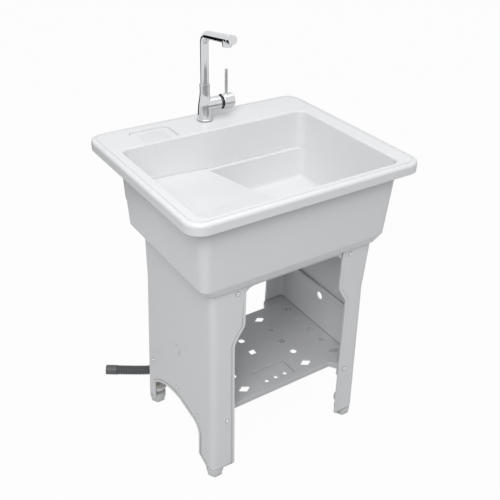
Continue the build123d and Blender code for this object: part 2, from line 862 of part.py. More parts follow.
# Beams that tie the panels together under the tub
for beam_name, beam_face, inward in (
    ("front_beam", front_face, 1),
    ("back_beam", back_face, -1),
):
    face_plane = beam_face(stand_centre_x, (waist_height + stand_top) / 2, panel_wall + joint_gap)
    rise = (stand_top - waist_height) / 2
    beam_half = stand_half(waist_height) - panel_corner_radius - beam_end_margin
    beam_gusset_half = return_edge_top + beam_gusset_margin
    edge_y = beam_face(stand_centre_x, stand_top, panel_wall + joint_gap).origin.Y
    with BuildPart() as beam:
        with BuildSketch(face_plane) as beam_profile:
            with BuildLine():
                Polyline(
                    (-beam_half, rise + cut_margin),
                    (-beam_half, rise - beam_gusset_height),
                    (-beam_gusset_half, rise - beam_gusset_height),
                    (-beam_gusset_half, rise - beam_height),
                    (beam_gusset_half, rise - beam_height),
                    (beam_gusset_half, rise - beam_gusset_height),
                    (beam_half, rise - beam_gusset_height),
                    (beam_half, rise + cut_margin),
                    close=True,
                )
            make_face()
            gusset_corners = beam_profile.vertices().filter_by_position(
                Axis.Y, rise - beam_height - cut_margin, rise - beam_height + cut_margin
            )
            fillet(gusset_corners, beam_gusset_radius)
        extrude(amount=-beam_thickness)
        with BuildSketch(Plane.XY.offset(stand_top - beam_flange_thickness)):
            with Locations((stand_centre_x, edge_y + inward * beam_flange_width / 2)):
                Rectangle(2 * beam_half, beam_flange_width)
        extrude(amount=beam_flange_thickness)
        split(bisect_by=Plane.XY.offset(stand_top), keep=Keep.BOTTOM)
        with Locations(*frame_screw_places):
            Hole(screw_hole_radius, screw_reach)
    beam.part.label = beam_name
    export_step(beam.part, f"parts/{beam_name}.step")

# ---------------------------------------------------------------- shelf
shelf_half = stand_half(shelf_top) - panel_wall - joint_gap
shelf_front = stand_front(shelf_top) + panel_wall + joint_gap
shelf_back = stand_back(shelf_top) - panel_wall - joint_gap
shelf_underside = shelf_top - shelf_thickness
hole_column_pitch = (shelf_half - hole_column_margin) / 2
hole_row_pitch = (shelf_back - hole_back_margin - shelf_front - hole_front_margin) / 4
hole_row_y = [shelf_back - hole_back_margin - row * hole_row_pitch for row in range(5)]
tray_centre_y = shelf_front + tray_inset

with BuildSketch() as diamond:
    with BuildLine():
        Polyline(
            (diamond_length / 2, 0),
            (0, diamond_width / 2),
            (-diamond_length / 2, 0),
            (0, -diamond_width / 2),
            close=True,
        )
    make_face()

with BuildSketch(Plane.XY.offset(shelf_underside)) as shelf_outline:
    with Locations((stand_centre_x, (shelf_front + shelf_back) / 2)):
        RectangleRounded(2 * shelf_half, shelf_back - shelf_front, shelf_corner_radius)
    with BuildLine():
        front_low = shelf_front + shelf_front_inset
        Polyline(
            (stand_centre_x - shelf_front_notch_half - shelf_notch_slope, shelf_front - cut_margin),
            (stand_centre_x - shelf_front_notch_half, front_low),
            (stand_centre_x + shelf_front_notch_half, front_low),
            (stand_centre_x + shelf_front_notch_half + shelf_notch_slope, shelf_front - cut_margin),
            close=True,
        )
    make_face(mode=Mode.SUBTRACT)
    with BuildLine():
        back_low = shelf_back - shelf_back_inset
        Polyline(
            (stand_centre_x - shelf_back_notch_half - shelf_notch_slope, shelf_back + cut_margin),
            (stand_centre_x - shelf_back_notch_half, back_low),
            (stand_centre_x + shelf_back_notch_half, back_low),
            (stand_centre_x + shelf_back_notch_half + shelf_notch_slope, shelf_back + cut_margin),
            close=True,
        )
    make_face(mode=Mode.SUBTRACT)
    notch_corners = (
        shelf_outline.vertices()
        .filter_by_position(Axis.X, stand_centre_x - shelf_half + shelf_corner_radius + cut_margin,
                            stand_centre_x + shelf_half - shelf_corner_radius - cut_margin)
    )
    fillet(notch_corners, shelf_notch_radius)

with BuildPart() as shelf:
    extrude(shelf_outline.sketch, amount=shelf_thickness)
    shelf_skirt = offset(shelf_outline.sketch, -shelf_thickness, mode=Mode.PRIVATE)
    extrude(shelf_outline.sketch, amount=-(shelf_flange_depth - shelf_thickness))
    extrude(shelf_skirt, amount=-(shelf_flange_depth - shelf_thickness), mode=Mode.SUBTRACT)
    with BuildSketch(Plane.XY.offset(shelf_underside)):
        for end_y in (shelf_front + shelf_thickness / 2, shelf_back - shelf_thickness / 2):
            for side in (-1, 1):
                with Locations((stand_centre_x + side * shelf_screw_half, end_y)):
                    Rectangle(shelf_tab_width, shelf_thickness)
    extrude(amount=-(shelf_tab_depth - shelf_thickness))
    with BuildSketch(Plane.XY.offset(shelf_underside)):
        for side in (-1, 1):
            for tab_y, tab_z in side_screw_places:
                with Locations((stand_centre_x + side * (shelf_half - shelf_thickness / 2), tab_y)):
                    Rectangle(shelf_thickness, side_tab_width)
    extrude(amount=-(side_tab_depth - shelf_thickness))
    # Soap or brush tray let into the front of the shelf
    with BuildSketch(Plane.XY.offset(shelf_top - tray_depth - shelf_thickness)):
        with Locations((stand_centre_x, tray_centre_y)):
            RectangleRounded(
                tray_length + 2 * shelf_thickness,
                tray_width + 2 * shelf_thickness,
                tray_corner_radius + shelf_thickness,
            )
    extrude(amount=tray_depth)
    with BuildSketch(Plane.XY.offset(shelf_top - tray_depth)):
        with Locations((stand_centre_x, tray_centre_y)):
            RectangleRounded(tray_length, tray_width, tray_corner_radius)
    extrude(amount=tray_depth, mode=Mode.SUBTRACT)
    # Drain holes in columns: diamond, round, square, round, diamond
    with BuildSketch(Plane.XY.offset(shelf_top)):
        for column in range(-2, 3):
            column_x = stand_centre_x + column * hole_column_pitch
            with Locations((column_x, hole_row_y[0])):
                add(diamond.sketch)
            with Locations((column_x, hole_row_y[1])):
                Circle(round_hole_diameter / 2)
            with Locations((column_x, hole_row_y[2])):
                Rectangle(square_hole_side, square_hole_side)
            if column != 0:
                with Locations((column_x, hole_row_y[3])):
                    Circle(round_hole_diameter / 2)
                with Locations((column_x, hole_row_y[4])):
                    add(diamond.sketch)
        with Locations((stand_centre_x, shelf_front + tray_hole_inset)):
            with GridLocations(tray_hole_pitch, 0, 3, 1):
                Circle(tray_hole_diameter / 2)
    extrude(amount=-2 * shelf_flange_depth, mode=Mode.SUBTRACT)
    with Locations(*shelf_screw_places):
        Hole(screw_hole_radius, screw_reach)
shelf.part.label = "shelf"
export_step(shelf.part, "parts/shelf.step")

# ---------------------------------------------------------------- screws
for screw_name, places in (
    ("frame_screws", frame_screw_places),
    ("shelf_screws", shelf_screw_places),
):
    with BuildPart() as screws:
        with Locations(*places):
            Cylinder(
                screw_head_diameter / 2,
                screw_head_height,
                align=(Align.CENTER, Align.CENTER, Align.MIN),
            )
        head_rims = [
            edge
            for place in places
            for edge in screws.edges().filter_by(GeomType.CIRCLE)
            if (edge.arc_center - place.offset(screw_head_height).origin).length < screw_slot_width
        ]
        fillet(head_rims, screw_head_edge)
        with Locations(*places):
            Cylinder(
                screw_shank_diameter / 2,
                screw_shank_length,
                align=(Align.CENTER, Align.CENTER, Align.MAX),
            )
        with Locations(*[place.offset(screw_head_height) for place in places]):
            Box(screw_slot_length, screw_slot_width, 2 * screw_slot_depth, mode=Mode.SUBTRACT)
            Box(screw_slot_width, screw_slot_length, 2 * screw_slot_depth, mode=Mode.SUBTRACT)
    screws.part.label = screw_name
    export_step(screws.part, f"parts/{screw_name}.step")

# ---------------------------------------------------------------- levelling feet
for place_name, (foot_x, foot_y) in foot_places.items():
    with BuildPart() as foot:
        with BuildSketch(Plane.XY):
            with Locations((foot_x, foot_y)):
                RegularPolygon(foot_pad_across / 2, 6, major_radius=False)
        extrude(amount=foot_pad_height)
        fillet(foot.edges().filter_by(Axis.Z), foot_pad_edge)
        with BuildSketch(Plane.XY.offset(foot_pad_height)):
            with Locations((foot_x, foot_y)):
                Circle(foot_collar_diameter / 2)
        extrude(amount=foot_collar_height)
        fillet(foot.edges().filter_by(GeomType.CIRCLE).group_by(Axis.Z)[-1], foot_collar_edge)
        with BuildSketch(Plane.XY.offset(foot_pad_height + foot_collar_height)):
            with Locations((foot_x, foot_y)):
                Circle(foot_stem_diameter / 2)
        extrude(amount=foot_stem_top - foot_pad_height - foot_collar_height)
    foot.part.label = f"foot_{place_name}"
    export_step(foot.part, f"parts/foot_{place_name}.step")
    with BuildPart() as foot_insert:
        with BuildSketch(Plane.XY.offset(leg_web_bottom - insert_flange_thickness)):
            with Locations((foot_x, foot_y)):
                Circle(insert_flange_diameter / 2)
        extrude(amount=insert_flange_thickness)
        with BuildSketch(Plane.XY.offset(leg_web_bottom)):
            with Locations((foot_x, foot_y)):
                Circle(insert_diameter / 2)
        extrude(amount=leg_web_thickness)
        with Locations((foot_x, foot_y, leg_web_bottom)):
            Hole(foot_stem_diameter / 2 + foot_thread_clearance, leg_web_bottom)
    foot_insert.part.label = f"foot_insert_{place_name}"
    export_step(foot_insert.part, f"parts/foot_insert_{place_name}.step")

# ---------------------------------------------------------------- drain
upper_gasket_top = floor_top + drain_gasket_thickness
flange_top = upper_gasket_top + drain_flange_thickness
cup_top = floor_underside - drain_gasket_thickness
cup_bottom = cup_top - drain_cup_depth
throat_radius = drain_throat_diameter / 2
throat_outer = throat_radius + drain_thread_wall
spider_bottom = flange_top - drain_throat_depth
cup_inner = drain_cup_diameter / 2 - drain_cup_wall
drain_axis = (drain_x, drain_y)
bolt_radius = drain_bolt_diameter / 2


def drain_ring(outer, inner, bottom, height):
    """A flat ring about the drain's axis."""
    with BuildPart() as ring:
        with BuildSketch(Plane.XY.offset(bottom)):
            with Locations(drain_axis):
                Circle(outer)
                Circle(inner, mode=Mode.SUBTRACT)
        extrude(amount=height)
    return ring.part


with BuildPart() as drain_flange:
    add(drain_ring(drain_flange_diameter / 2, throat_radius, upper_gasket_top, drain_flange_thickness))
    add(drain_ring(throat_outer, throat_radius, spider_bottom, drain_throat_depth - drain_flange_thickness))
    with BuildSketch(Plane.XY.offset(spider_bottom)):
        with Locations(drain_axis):
            Circle(drain_boss_diameter / 2)
            Rectangle(2 * throat_radius + drain_thread_wall, drain_spider_width)
            Rectangle(drain_spider_width, 2 * throat_radius + drain_thread_wall)
    extrude(amount=drain_spider_thickness)
    with Locations((drain_x, drain_y, spider_bottom)):
        Hole(bolt_radius + foot_thread_clearance, drain_throat_depth)
drain_flange.part.label = "drain_flange"
export_step(drain_flange.part, "parts/drain_flange.step")

with BuildPart() as drain_gasket_upper:
    add(drain_ring(drain_flange_diameter / 2, drain_hole_diameter / 2, floor_top, drain_gasket_thickness))
drain_gasket_upper.part.label = "drain_gasket_upper"
export_step(drain_gasket_upper.part, "parts/drain_gasket_upper.step")

with BuildPart() as drain_gasket_lower:
    add(drain_ring(drain_flange_diameter / 2, drain_hole_diameter / 2, cup_top, drain_gasket_thickness))
drain_gasket_lower.part.label = "drain_gasket_lower"
export_step(drain_gasket_lower.part, "parts/drain_gasket_lower.step")

# The outlet leaves the cup sideways, on the hose's first straight run
outlet_direction = Vector(-0.6, 0.8, 0)


def outlet_plane(distance):
    """A plane across the outlet, at a distance from the drain's axis."""
    centre = Vector(drain_x, drain_y, outlet_z) + outlet_direction * distance
    return Plane(origin=centre, x_dir=(0, 0, 1), z_dir=outlet_direction)


outlet_end = drain_cup_diameter / 2 + outlet_length
collar_end = outlet_end + drain_cup_wall
nut_lip_end = collar_end + drain_cup_wall + joint_gap
nut_start = nut_lip_end - tail_nut_length

with BuildPart() as drain_cup:
    add(drain_ring(drain_flange_diameter / 2, cup_inner, cup_top - drain_cup_wall, drain_cup_wall))
    add(drain_ring(drain_cup_diameter / 2, cup_inner, cup_bottom, drain_cup_depth))
    add(drain_ring(drain_cup_diameter / 2, bolt_radius + joint_gap, cup_bottom, drain_cup_wall))
    with BuildSketch(outlet_plane(cup_inner)):
        Circle(outlet_outer_diameter / 2)
    extrude(amount=outlet_end - cup_inner)
    with BuildSketch(outlet_plane(outlet_end)):
        Circle(outlet_bore_diameter / 2)
    extrude(amount=-(outlet_end - cup_inner / 2), mode=Mode.SUBTRACT)
    with BuildSketch(Plane.XY.offset(cup_bottom + drain_cup_wall)):
        with Locations(drain_axis):
            Circle(cup_inner)
    extrude(amount=drain_cup_depth, mode=Mode.SUBTRACT)
drain_cup.part.label = "drain_cup"
export_step(drain_cup.part, "parts/drain_cup.step")

with BuildPart() as drain_bolt:
    with BuildSketch(Plane.XY.offset(cup_bottom - drain_bolt_head_height)):
        with Locations(drain_axis):
            Circle(drain_bolt_head_diameter / 2)
    extrude(amount=drain_bolt_head_height)
    with BuildSketch(Plane.XY.offset(cup_bottom)):
        with Locations(drain_axis):
            Circle(bolt_radius)
    extrude(amount=spider_bottom + drain_spider_thickness - cup_bottom)
drain_bolt.part.label = "drain_bolt"
export_step(drain_bolt.part, "parts/drain_bolt.step")

with BuildPart() as tail_nut:
    with BuildSketch(outlet_plane(nut_start)):
        RegularPolygon(tail_nut_across / 2, 6, major_radius=False)
    extrude(amount=tail_nut_length)
    with BuildSketch(outlet_plane(nut_start)):
        Circle(outlet_outer_diameter / 2 + foot_thread_clearance)
    extrude(amount=collar_end + joint_gap - nut_start, mode=Mode.SUBTRACT)
    with BuildSketch(outlet_plane(nut_start)):
        Circle(tail_collar_diameter / 2 + joint_gap)
    extrude(amount=tail_nut_length, mode=Mode.SUBTRACT)
tail_nut.part.label = "tail_nut"
export_step(tail_nut.part, "parts/tail_nut.step")

with BuildPart() as hose_tail:
    with BuildSketch(outlet_plane(outlet_end)):
        Circle(outlet_outer_diameter / 2 - joint_gap)
    extrude(amount=drain_cup_wall)
    with BuildSketch(outlet_plane(outlet_end)):
        Circle(tail_collar_diameter / 2)
    extrude(amount=outlet_reach - outlet_end)
    with BuildSketch(outlet_plane(outlet_reach)):
        Circle(hose_bore_diameter / 2 - hose_fit_gap)
    extrude(amount=tail_spigot_length)
    with BuildSketch(outlet_plane(outlet_end)):
        Circle(hose_bore_diameter / 2 - hose_fit_gap - drain_cup_wall)
    extrude(amount=outlet_reach + tail_spigot_length, mode=Mode.SUBTRACT)
hose_tail.part.label = "hose_tail"
export_step(hose_tail.part, "parts/hose_tail.step")

# Strainer basket that hangs in the flange's throat, with its knob and seal
basket_radius = throat_radius - basket_side_gap
with BuildPart() as strainer_basket:
    add(drain_ring(basket_radius + basket_lip_width, basket_radius - basket_wall, flange_top, basket_wall))
    add(drain_ring(basket_radius, basket_radius - basket_wall, flange_top - basket_depth, basket_depth))
    add(drain_ring(basket_radius, knob_pin_diameter / 2, flange_top - basket_depth, basket_wall))
    with BuildSketch(Plane.XY.offset(flange_top - basket_depth)):
        with Locations(drain_axis):
            with PolarLocations(basket_radius - basket_hole_inset, basket_hole_count):
                Circle(basket_hole_diameter / 2)
    extrude(amount=basket_wall, mode=Mode.SUBTRACT)
strainer_basket.part.label = "strainer_basket"
export_step(strainer_basket.part, "parts/strainer_basket.step")

basket_floor = flange_top - basket_depth
with BuildPart() as basket_knob:
    with BuildSketch(Plane.XY.offset(basket_floor + basket_wall)):
        with Locations(drain_axis):
            Circle(knob_diameter / 2)
    extrude(amount=knob_height)
    fillet(basket_knob.edges().group_by(Axis.Z)[-1], knob_edge_radius)
    with BuildSketch(Plane.XY.offset(basket_floor - basket_seal_thickness)):
        with Locations(drain_axis):
            Circle(knob_pin_diameter / 2 - foot_thread_clearance)
    extrude(amount=basket_seal_thickness + basket_wall)
basket_knob.part.label = "basket_knob"
export_step(basket_knob.part, "parts/basket_knob.step")

with BuildPart() as basket_seal:
    add(drain_ring(basket_seal_diameter / 2, knob_pin_diameter / 2,
                   basket_floor - basket_seal_thickness, basket_seal_thickness))
basket_seal.part.label = "basket_seal"
export_step(basket_seal.part, "parts/basket_seal.step")

# ---------------------------------------------------------------- drain hose
# Chosen by hand: out of the tail, down behind the stand and out to the left
hose_radius = hose_crest_diameter / 2
hose_start = outlet_plane(outlet_reach).origin
hose_first = outlet_plane(outlet_reach + hose_first_run).origin
hose_points = [
    (hose_start.X, hose_start.Y, hose_start.Z),
    (hose_first.X, hose_first.Y, hose_first.Z),
    (18.5, 102, 504.5),
    (-11, 139, 440),
    (-28.7, 146.7, 325.5),
    (-44.7, 154.7, 213.5),
    (-65.6, 163.6, 111),
    (-109.4, 187, 48.4),
    (-172, 223, hose_radius),
    (-230, 258, hose_radius),
    (-268, 283, hose_radius),
]


def bend_radii(points):
    """Radius at each inner point, so that its arc takes a set share of the shorter run."""
    radii = []
    for before, point, after in zip(points, points[1:], points[2:]):
        run_in = Vector(point) - Vector(before)
        run_out = Vector(after) - Vector(point)
        half_turn = radians(run_in.get_angle(run_out)) / 2
        radii.append(hose_bend_share * min(run_in.length, run_out.length) / tan(half_turn))
    return radii


hose_radii = bend_radii(hose_points)
with BuildLine() as hose_line:
    FilletPolyline(hose_points, radius=hose_radii)
hose_path = hose_line.wire()
hose_length = hose_path.length

# The ribs: four circles each, on planes whose X axis stays steady along the hose
hose_steady = Vector(0.64, 0.77, 0)
rib_count = int(hose_length / hose_pitch)
rib_length = hose_length / rib_count
rib_steps = (
    (0.0, hose_root_diameter),
    (0.25, hose_root_diameter),
    (0.40, hose_crest_diameter),
    (0.85, hose_crest_diameter),
)


def hose_plane(distance):
    """A plane across the hose at a distance along it."""
    share = min(distance / hose_length, 1.0)
    heading = hose_path.tangent_at(share)
    across = hose_steady - heading * hose_steady.dot(heading)
    return Plane(origin=hose_path.position_at(share), x_dir=across, z_dir=heading)


def hose_circle(distance, diameter):
    """One circle across the hose."""
    with BuildSketch(hose_plane(distance)) as ring:
        Circle(diameter / 2)
    return ring.sketch


rib_circles = [
    hose_circle((rib + step) * rib_length, diameter)
    for rib in range(rib_count)
    for step, diameter in rib_steps
]
rib_circles.append(hose_circle(hose_length, hose_root_diameter))
with BuildPart() as drain_hose:
    loft(sections=rib_circles, ruled=True)
    with BuildSketch(hose_plane(0)):
        Circle(hose_bore_diameter / 2)
    sweep(path=hose_path, mode=Mode.SUBTRACT)
drain_hose.part.label = "drain_hose"
export_step(drain_hose.part, "parts/drain_hose.step")

# Smooth cuff on the hose's free end
with BuildPart() as hose_cuff:
    with BuildSketch(hose_plane(hose_length)):
        Circle(hose_crest_diameter / 2)
        Circle(hose_crest_diameter / 2 - cuff_wall, mode=Mode.SUBTRACT)
    extrude(amount=cuff_length)
    fillet(hose_cuff.faces().sort_by(Axis.X)[0].edges(), cuff_edge_radius)
hose_cuff.part.label = "hose_cuff"
export_step(hose_cuff.part, "parts/hose_cuff.step")

# Worm-drive clamp over the hose where it sits on its tail
clamp_inner = hose_crest_diameter / 2 + hose_fit_gap
with BuildPart() as hose_clamp:
    with BuildSketch(outlet_plane(outlet_reach + clamp_offset)):
        Circle(clamp_inner + clamp_thickness)
        Circle(clamp_inner, mode=Mode.SUBTRACT)
    extrude(amount=clamp_width)
    clamp_middle = outlet_plane(outlet_reach + clamp_offset + clamp_width / 2)
    with BuildSketch(clamp_middle):
        with Locations((clamp_inner + (clamp_thickness + clamp_screw_height) / 2, 0)):
            Rectangle(clamp_screw_height, clamp_screw_length)
    extrude(amount=clamp_width / 2, both=True)
hose_clamp.part.label = "hose_clamp"
export_step(hose_clamp.part, "parts/hose_clamp.step")

# ---------------------------------------------------------------- tap
tap_foot_z = rim_top + tap_gasket_thickness
valve_axis_z = rim_top + valve_axis_height
body_top_z = rim_top + tap_body_height
valve_end_x = tap_x + valve_body_reach
pivot_x = tap_x + pivot_offset
bore_radius = cartridge_diameter / 2 + driver_clearance


def tap_ring(outer, inner, bottom, height):
    """A flat ring about the tap's upright axis."""
    with BuildPart() as ring:
        with BuildSketch(Plane.XY.offset(bottom)):
            with Locations((tap_x, tap_y)):
                Circle(outer)
                Circle(inner, mode=Mode.SUBTRACT)
        extrude(amount=height)
    return ring.part


def valve_plane(x):
    """A plane across the valve's axis."""
    return Plane(origin=(x, tap_y, valve_axis_z), x_dir=(0, 1, 0), z_dir=(1, 0, 0))


with BuildPart() as tap_base_gasket:
    add(tap_ring(tap_base_diameter / 2, shank_diameter / 2 + joint_gap, rim_top, tap_gasket_thickness))
tap_base_gasket.part.label = "tap_base_gasket"
export_step(tap_base_gasket.part, "parts/tap_base_gasket.step")

with BuildPart() as tap_body:
    with BuildSketch(Plane.XZ.offset(-tap_y)):
        with BuildLine():
            base_top = tap_foot_z + tap_base_height
            waist = (tap_x + tap_waist_diameter / 2, rim_top + tap_waist_height)
            neck = (tap_x + tap_neck_diameter / 2, rim_top + tap_neck_height)
            third = (neck[1] - waist[1]) / 3
            lower = Polyline(
                (tap_x, tap_foot_z),
                (tap_x + tap_base_diameter / 2, tap_foot_z),
                (tap_x + tap_base_diameter / 2, base_top - tap_base_step),
                (tap_x + tap_base_diameter / 2 - tap_base_step, base_top),
                waist,
            )
            waist_pull = (waist[0] - tap_base_step / 2, waist[1] + third)
            Bezier(waist, waist_pull, (neck[0], neck[1] - third), neck)
            Polyline(neck, (neck[0], body_top_z), (tap_x, body_top_z), (tap_x, tap_foot_z))
        make_face()
    revolve(axis=Axis((tap_x, tap_y, 0), (0, 0, 1)))
    with BuildSketch(valve_plane(tap_x)):
        Circle(valve_body_diameter / 2)
    extrude(amount=valve_body_reach)
    fillet(tap_body.faces().sort_by(Axis.X)[-1].edges(), valve_edge_radius)
    with BuildSketch(valve_plane(tap_x + valve_bore_start)):
        Circle(bore_radius)
    extrude(amount=valve_body_reach, mode=Mode.SUBTRACT)
    with BuildSketch(valve_plane(tap_x)):
        Circle(tap_chamber_diameter / 2)
    extrude(amount=valve_body_reach, mode=Mode.SUBTRACT)
    with Locations((tap_x, tap_y, body_top_z)):
        Hole(tap_chamber_diameter / 2, body_top_z - valve_axis_z)
        Hole(spout_socket_diameter / 2, spout_socket_depth)
    with BuildSketch(Plane.XY.offset(body_top_z - clip_depth - clip_groove_margin)):
        with Locations((tap_x, tap_y)):
            Circle(spout_socket_diameter / 2 + clip_width / 2 + clip_groove_margin)
    extrude(amount=clip_thickness + 2 * clip_groove_margin, mode=Mode.SUBTRACT)
    with BuildSketch(Plane.XY.offset(tap_foot_z)):
        with Locations((tap_x, tap_y)):
            Circle(shank_diameter / 2 + driver_clearance)
    extrude(amount=shank_socket_depth, mode=Mode.SUBTRACT)
    with BuildSketch(Plane.XY.offset(tap_foot_z + shank_socket_depth)):
        with Locations((tap_x, tap_y)):
            with GridLocations(inlet_spacing, 0, 2, 1):
                Circle(inlet_diameter / 2)
    extrude(amount=inlet_depth, mode=Mode.SUBTRACT)
tap_body.part.label = "tap_body"
export_step(tap_body.part, "parts/tap_body.step")

with BuildPart() as tap_shank:
    add(tap_ring(shank_diameter / 2, shank_diameter / 2 - shank_wall,
                 tap_foot_z + shank_socket_depth - shank_length, shank_length))
tap_shank.part.label = "tap_shank"
export_step(tap_shank.part, "parts/tap_shank.step")

nut_bore = shank_diameter / 2 + foot_thread_clearance
with BuildPart() as mounting_washer:
    add(tap_ring(mounting_washer_diameter / 2, nut_bore + joint_gap,
                 deck_underside - mounting_washer_thickness, mounting_washer_thickness))
mounting_washer.part.label = "mounting_washer"
export_step(mounting_washer.part, "parts/mounting_washer.step")

with BuildPart() as mounting_nut:
    with BuildSketch(Plane.XY.offset(deck_underside - mounting_washer_thickness)):
        with Locations((tap_x, tap_y)):
            RegularPolygon(mounting_nut_across / 2, 6, major_radius=False)
            Circle(nut_bore, mode=Mode.SUBTRACT)
    extrude(amount=-mounting_nut_height)
mounting_nut.part.label = "mounting_nut"
export_step(mounting_nut.part, "parts/mounting_nut.step")

# Cartridge, its cover ball, and the driver that turns about the valve's axis
housing_end_x = valve_end_x - ball_skirt
driver_radius = cartridge_diameter / 2 - cartridge_wall - driver_clearance
neck_radius = driver_neck_diameter / 2
ear_end_x = pivot_x + driver_ear_reach
driver_start_x = housing_end_x - driver_length
with BuildPart() as cartridge_housing:
    with BuildSketch(valve_plane(tap_x + valve_bore_start)):
        Circle(cartridge_diameter / 2)
        Circle(cartridge_diameter / 2 - cartridge_wall, mode=Mode.SUBTRACT)
    extrude(amount=housing_end_x - tap_x - valve_bore_start)
cartridge_housing.part.label = "cartridge_housing"
export_step(cartridge_housing.part, "parts/cartridge_housing.step")


def valve_point(x, radius):
    """A point of a profile that turns about the valve's axis."""
    return (x, valve_axis_z + radius)


ball_inner = ball_radius - ball_wall
ball_neck = neck_radius + ear_gap
ball_end_x = ear_end_x + ball_wall
with BuildPart() as cartridge_nut:
    with BuildSketch(Plane.XZ.offset(-tap_y)):
        with BuildLine():
            outer_arc = ThreePointArc(
                valve_point(valve_end_x, sqrt(ball_radius**2 - (pivot_x - valve_end_x) ** 2)),
                valve_point(pivot_x, ball_radius),
                valve_point(ball_end_x, sqrt(ball_radius**2 - (ball_end_x - pivot_x) ** 2)),
            )
            inner_arc = ThreePointArc(
                valve_point(ball_end_x, sqrt(ball_inner**2 - (ball_end_x - pivot_x) ** 2)),
                valve_point(pivot_x, ball_inner),
                valve_point(pivot_x - sqrt(ball_inner**2 - ball_neck**2), ball_neck),
            )
            Line(outer_arc @ 1, inner_arc @ 0)
            Polyline(
                inner_arc @ 1,
                valve_point(housing_end_x, ball_neck),
                valve_point(housing_end_x, cartridge_diameter / 2),
                valve_point(valve_end_x, cartridge_diameter / 2),
                outer_arc @ 0,
            )
        make_face()
    revolve(axis=Axis((0, tap_y, valve_axis_z), (1, 0, 0)))
cartridge_nut.part.label = "cartridge_nut"
export_step(cartridge_nut.part, "parts/cartridge_nut.step")

with BuildPart() as cartridge_driver:
    with BuildSketch(valve_plane(driver_start_x)):
        Circle(driver_radius)
    extrude(amount=driver_length - joint_gap)
    with BuildSketch(valve_plane(driver_start_x)):
        Circle(neck_radius)
    extrude(amount=ear_end_x - driver_start_x)
    slot_height = 2 * (stem_arm_length * sin(radians(flow_range)) + stem_arm_diameter / 2 + ear_gap)
    with BuildSketch(valve_plane(driver_start_x)):
        Rectangle(stem_arm_diameter + 2 * ear_gap, slot_height)
    extrude(amount=driver_length, mode=Mode.SUBTRACT)
    with BuildSketch(valve_plane(housing_end_x - joint_gap)):
        Rectangle(hub_width + 2 * ear_gap, 2 * neck_radius + 2 * ear_gap)
    extrude(amount=ear_end_x - housing_end_x + 2 * joint_gap, mode=Mode.SUBTRACT)
    with BuildSketch(Plane.XZ.offset(-tap_y)):
        with Locations((pivot_x, valve_axis_z)):
            Circle(tilt_pin_diameter / 2 + driver_clearance)
    extrude(amount=neck_radius + ear_gap, both=True, mode=Mode.SUBTRACT)
cartridge_driver.part.label = "cartridge_driver"
export_step(cartridge_driver.part, "parts/cartridge_driver.step")

with BuildPart() as tilt_pin:
    with BuildSketch(Plane.XZ.offset(-tap_y)):
        with Locations((pivot_x, valve_axis_z)):
            Circle(tilt_pin_diameter / 2)
    extrude(amount=neck_radius - ear_gap, both=True)
tilt_pin.part.label = "tilt_pin"
export_step(tilt_pin.part, "parts/tilt_pin.step")

stem_neck_length = driver_ear_reach + stem_neck_margin
with BuildPart() as handle_stem:
    with BuildSketch(Plane.XZ.offset(-tap_y)):
        with Locations((pivot_x, valve_axis_z)):
            Circle(stem_diameter / 2)
    extrude(amount=hub_width / 2, both=True)
    with BuildSketch(valve_plane(pivot_x)):
        Circle(stem_diameter / 2)
        Rectangle(hub_width, stem_diameter, mode=Mode.INTERSECT)
    extrude(amount=stem_neck_length)
    with BuildSketch(valve_plane(pivot_x + stem_neck_length)):
        Circle(stem_diameter / 2)
    extrude(amount=stem_length - stem_neck_length)
    with BuildSketch(valve_plane(pivot_x)):
        Circle(stem_arm_diameter / 2)
    extrude(amount=-stem_arm_length)
    with BuildSketch(Plane.XZ.offset(-tap_y)):
        with Locations((pivot_x, valve_axis_z)):
            Circle(tilt_pin_diameter / 2 + driver_clearance)
    extrude(amount=hub_width, both=True, mode=Mode.SUBTRACT)
handle_stem.part.label = "handle_stem"
export_step(handle_stem.part, "parts/handle_stem.step")

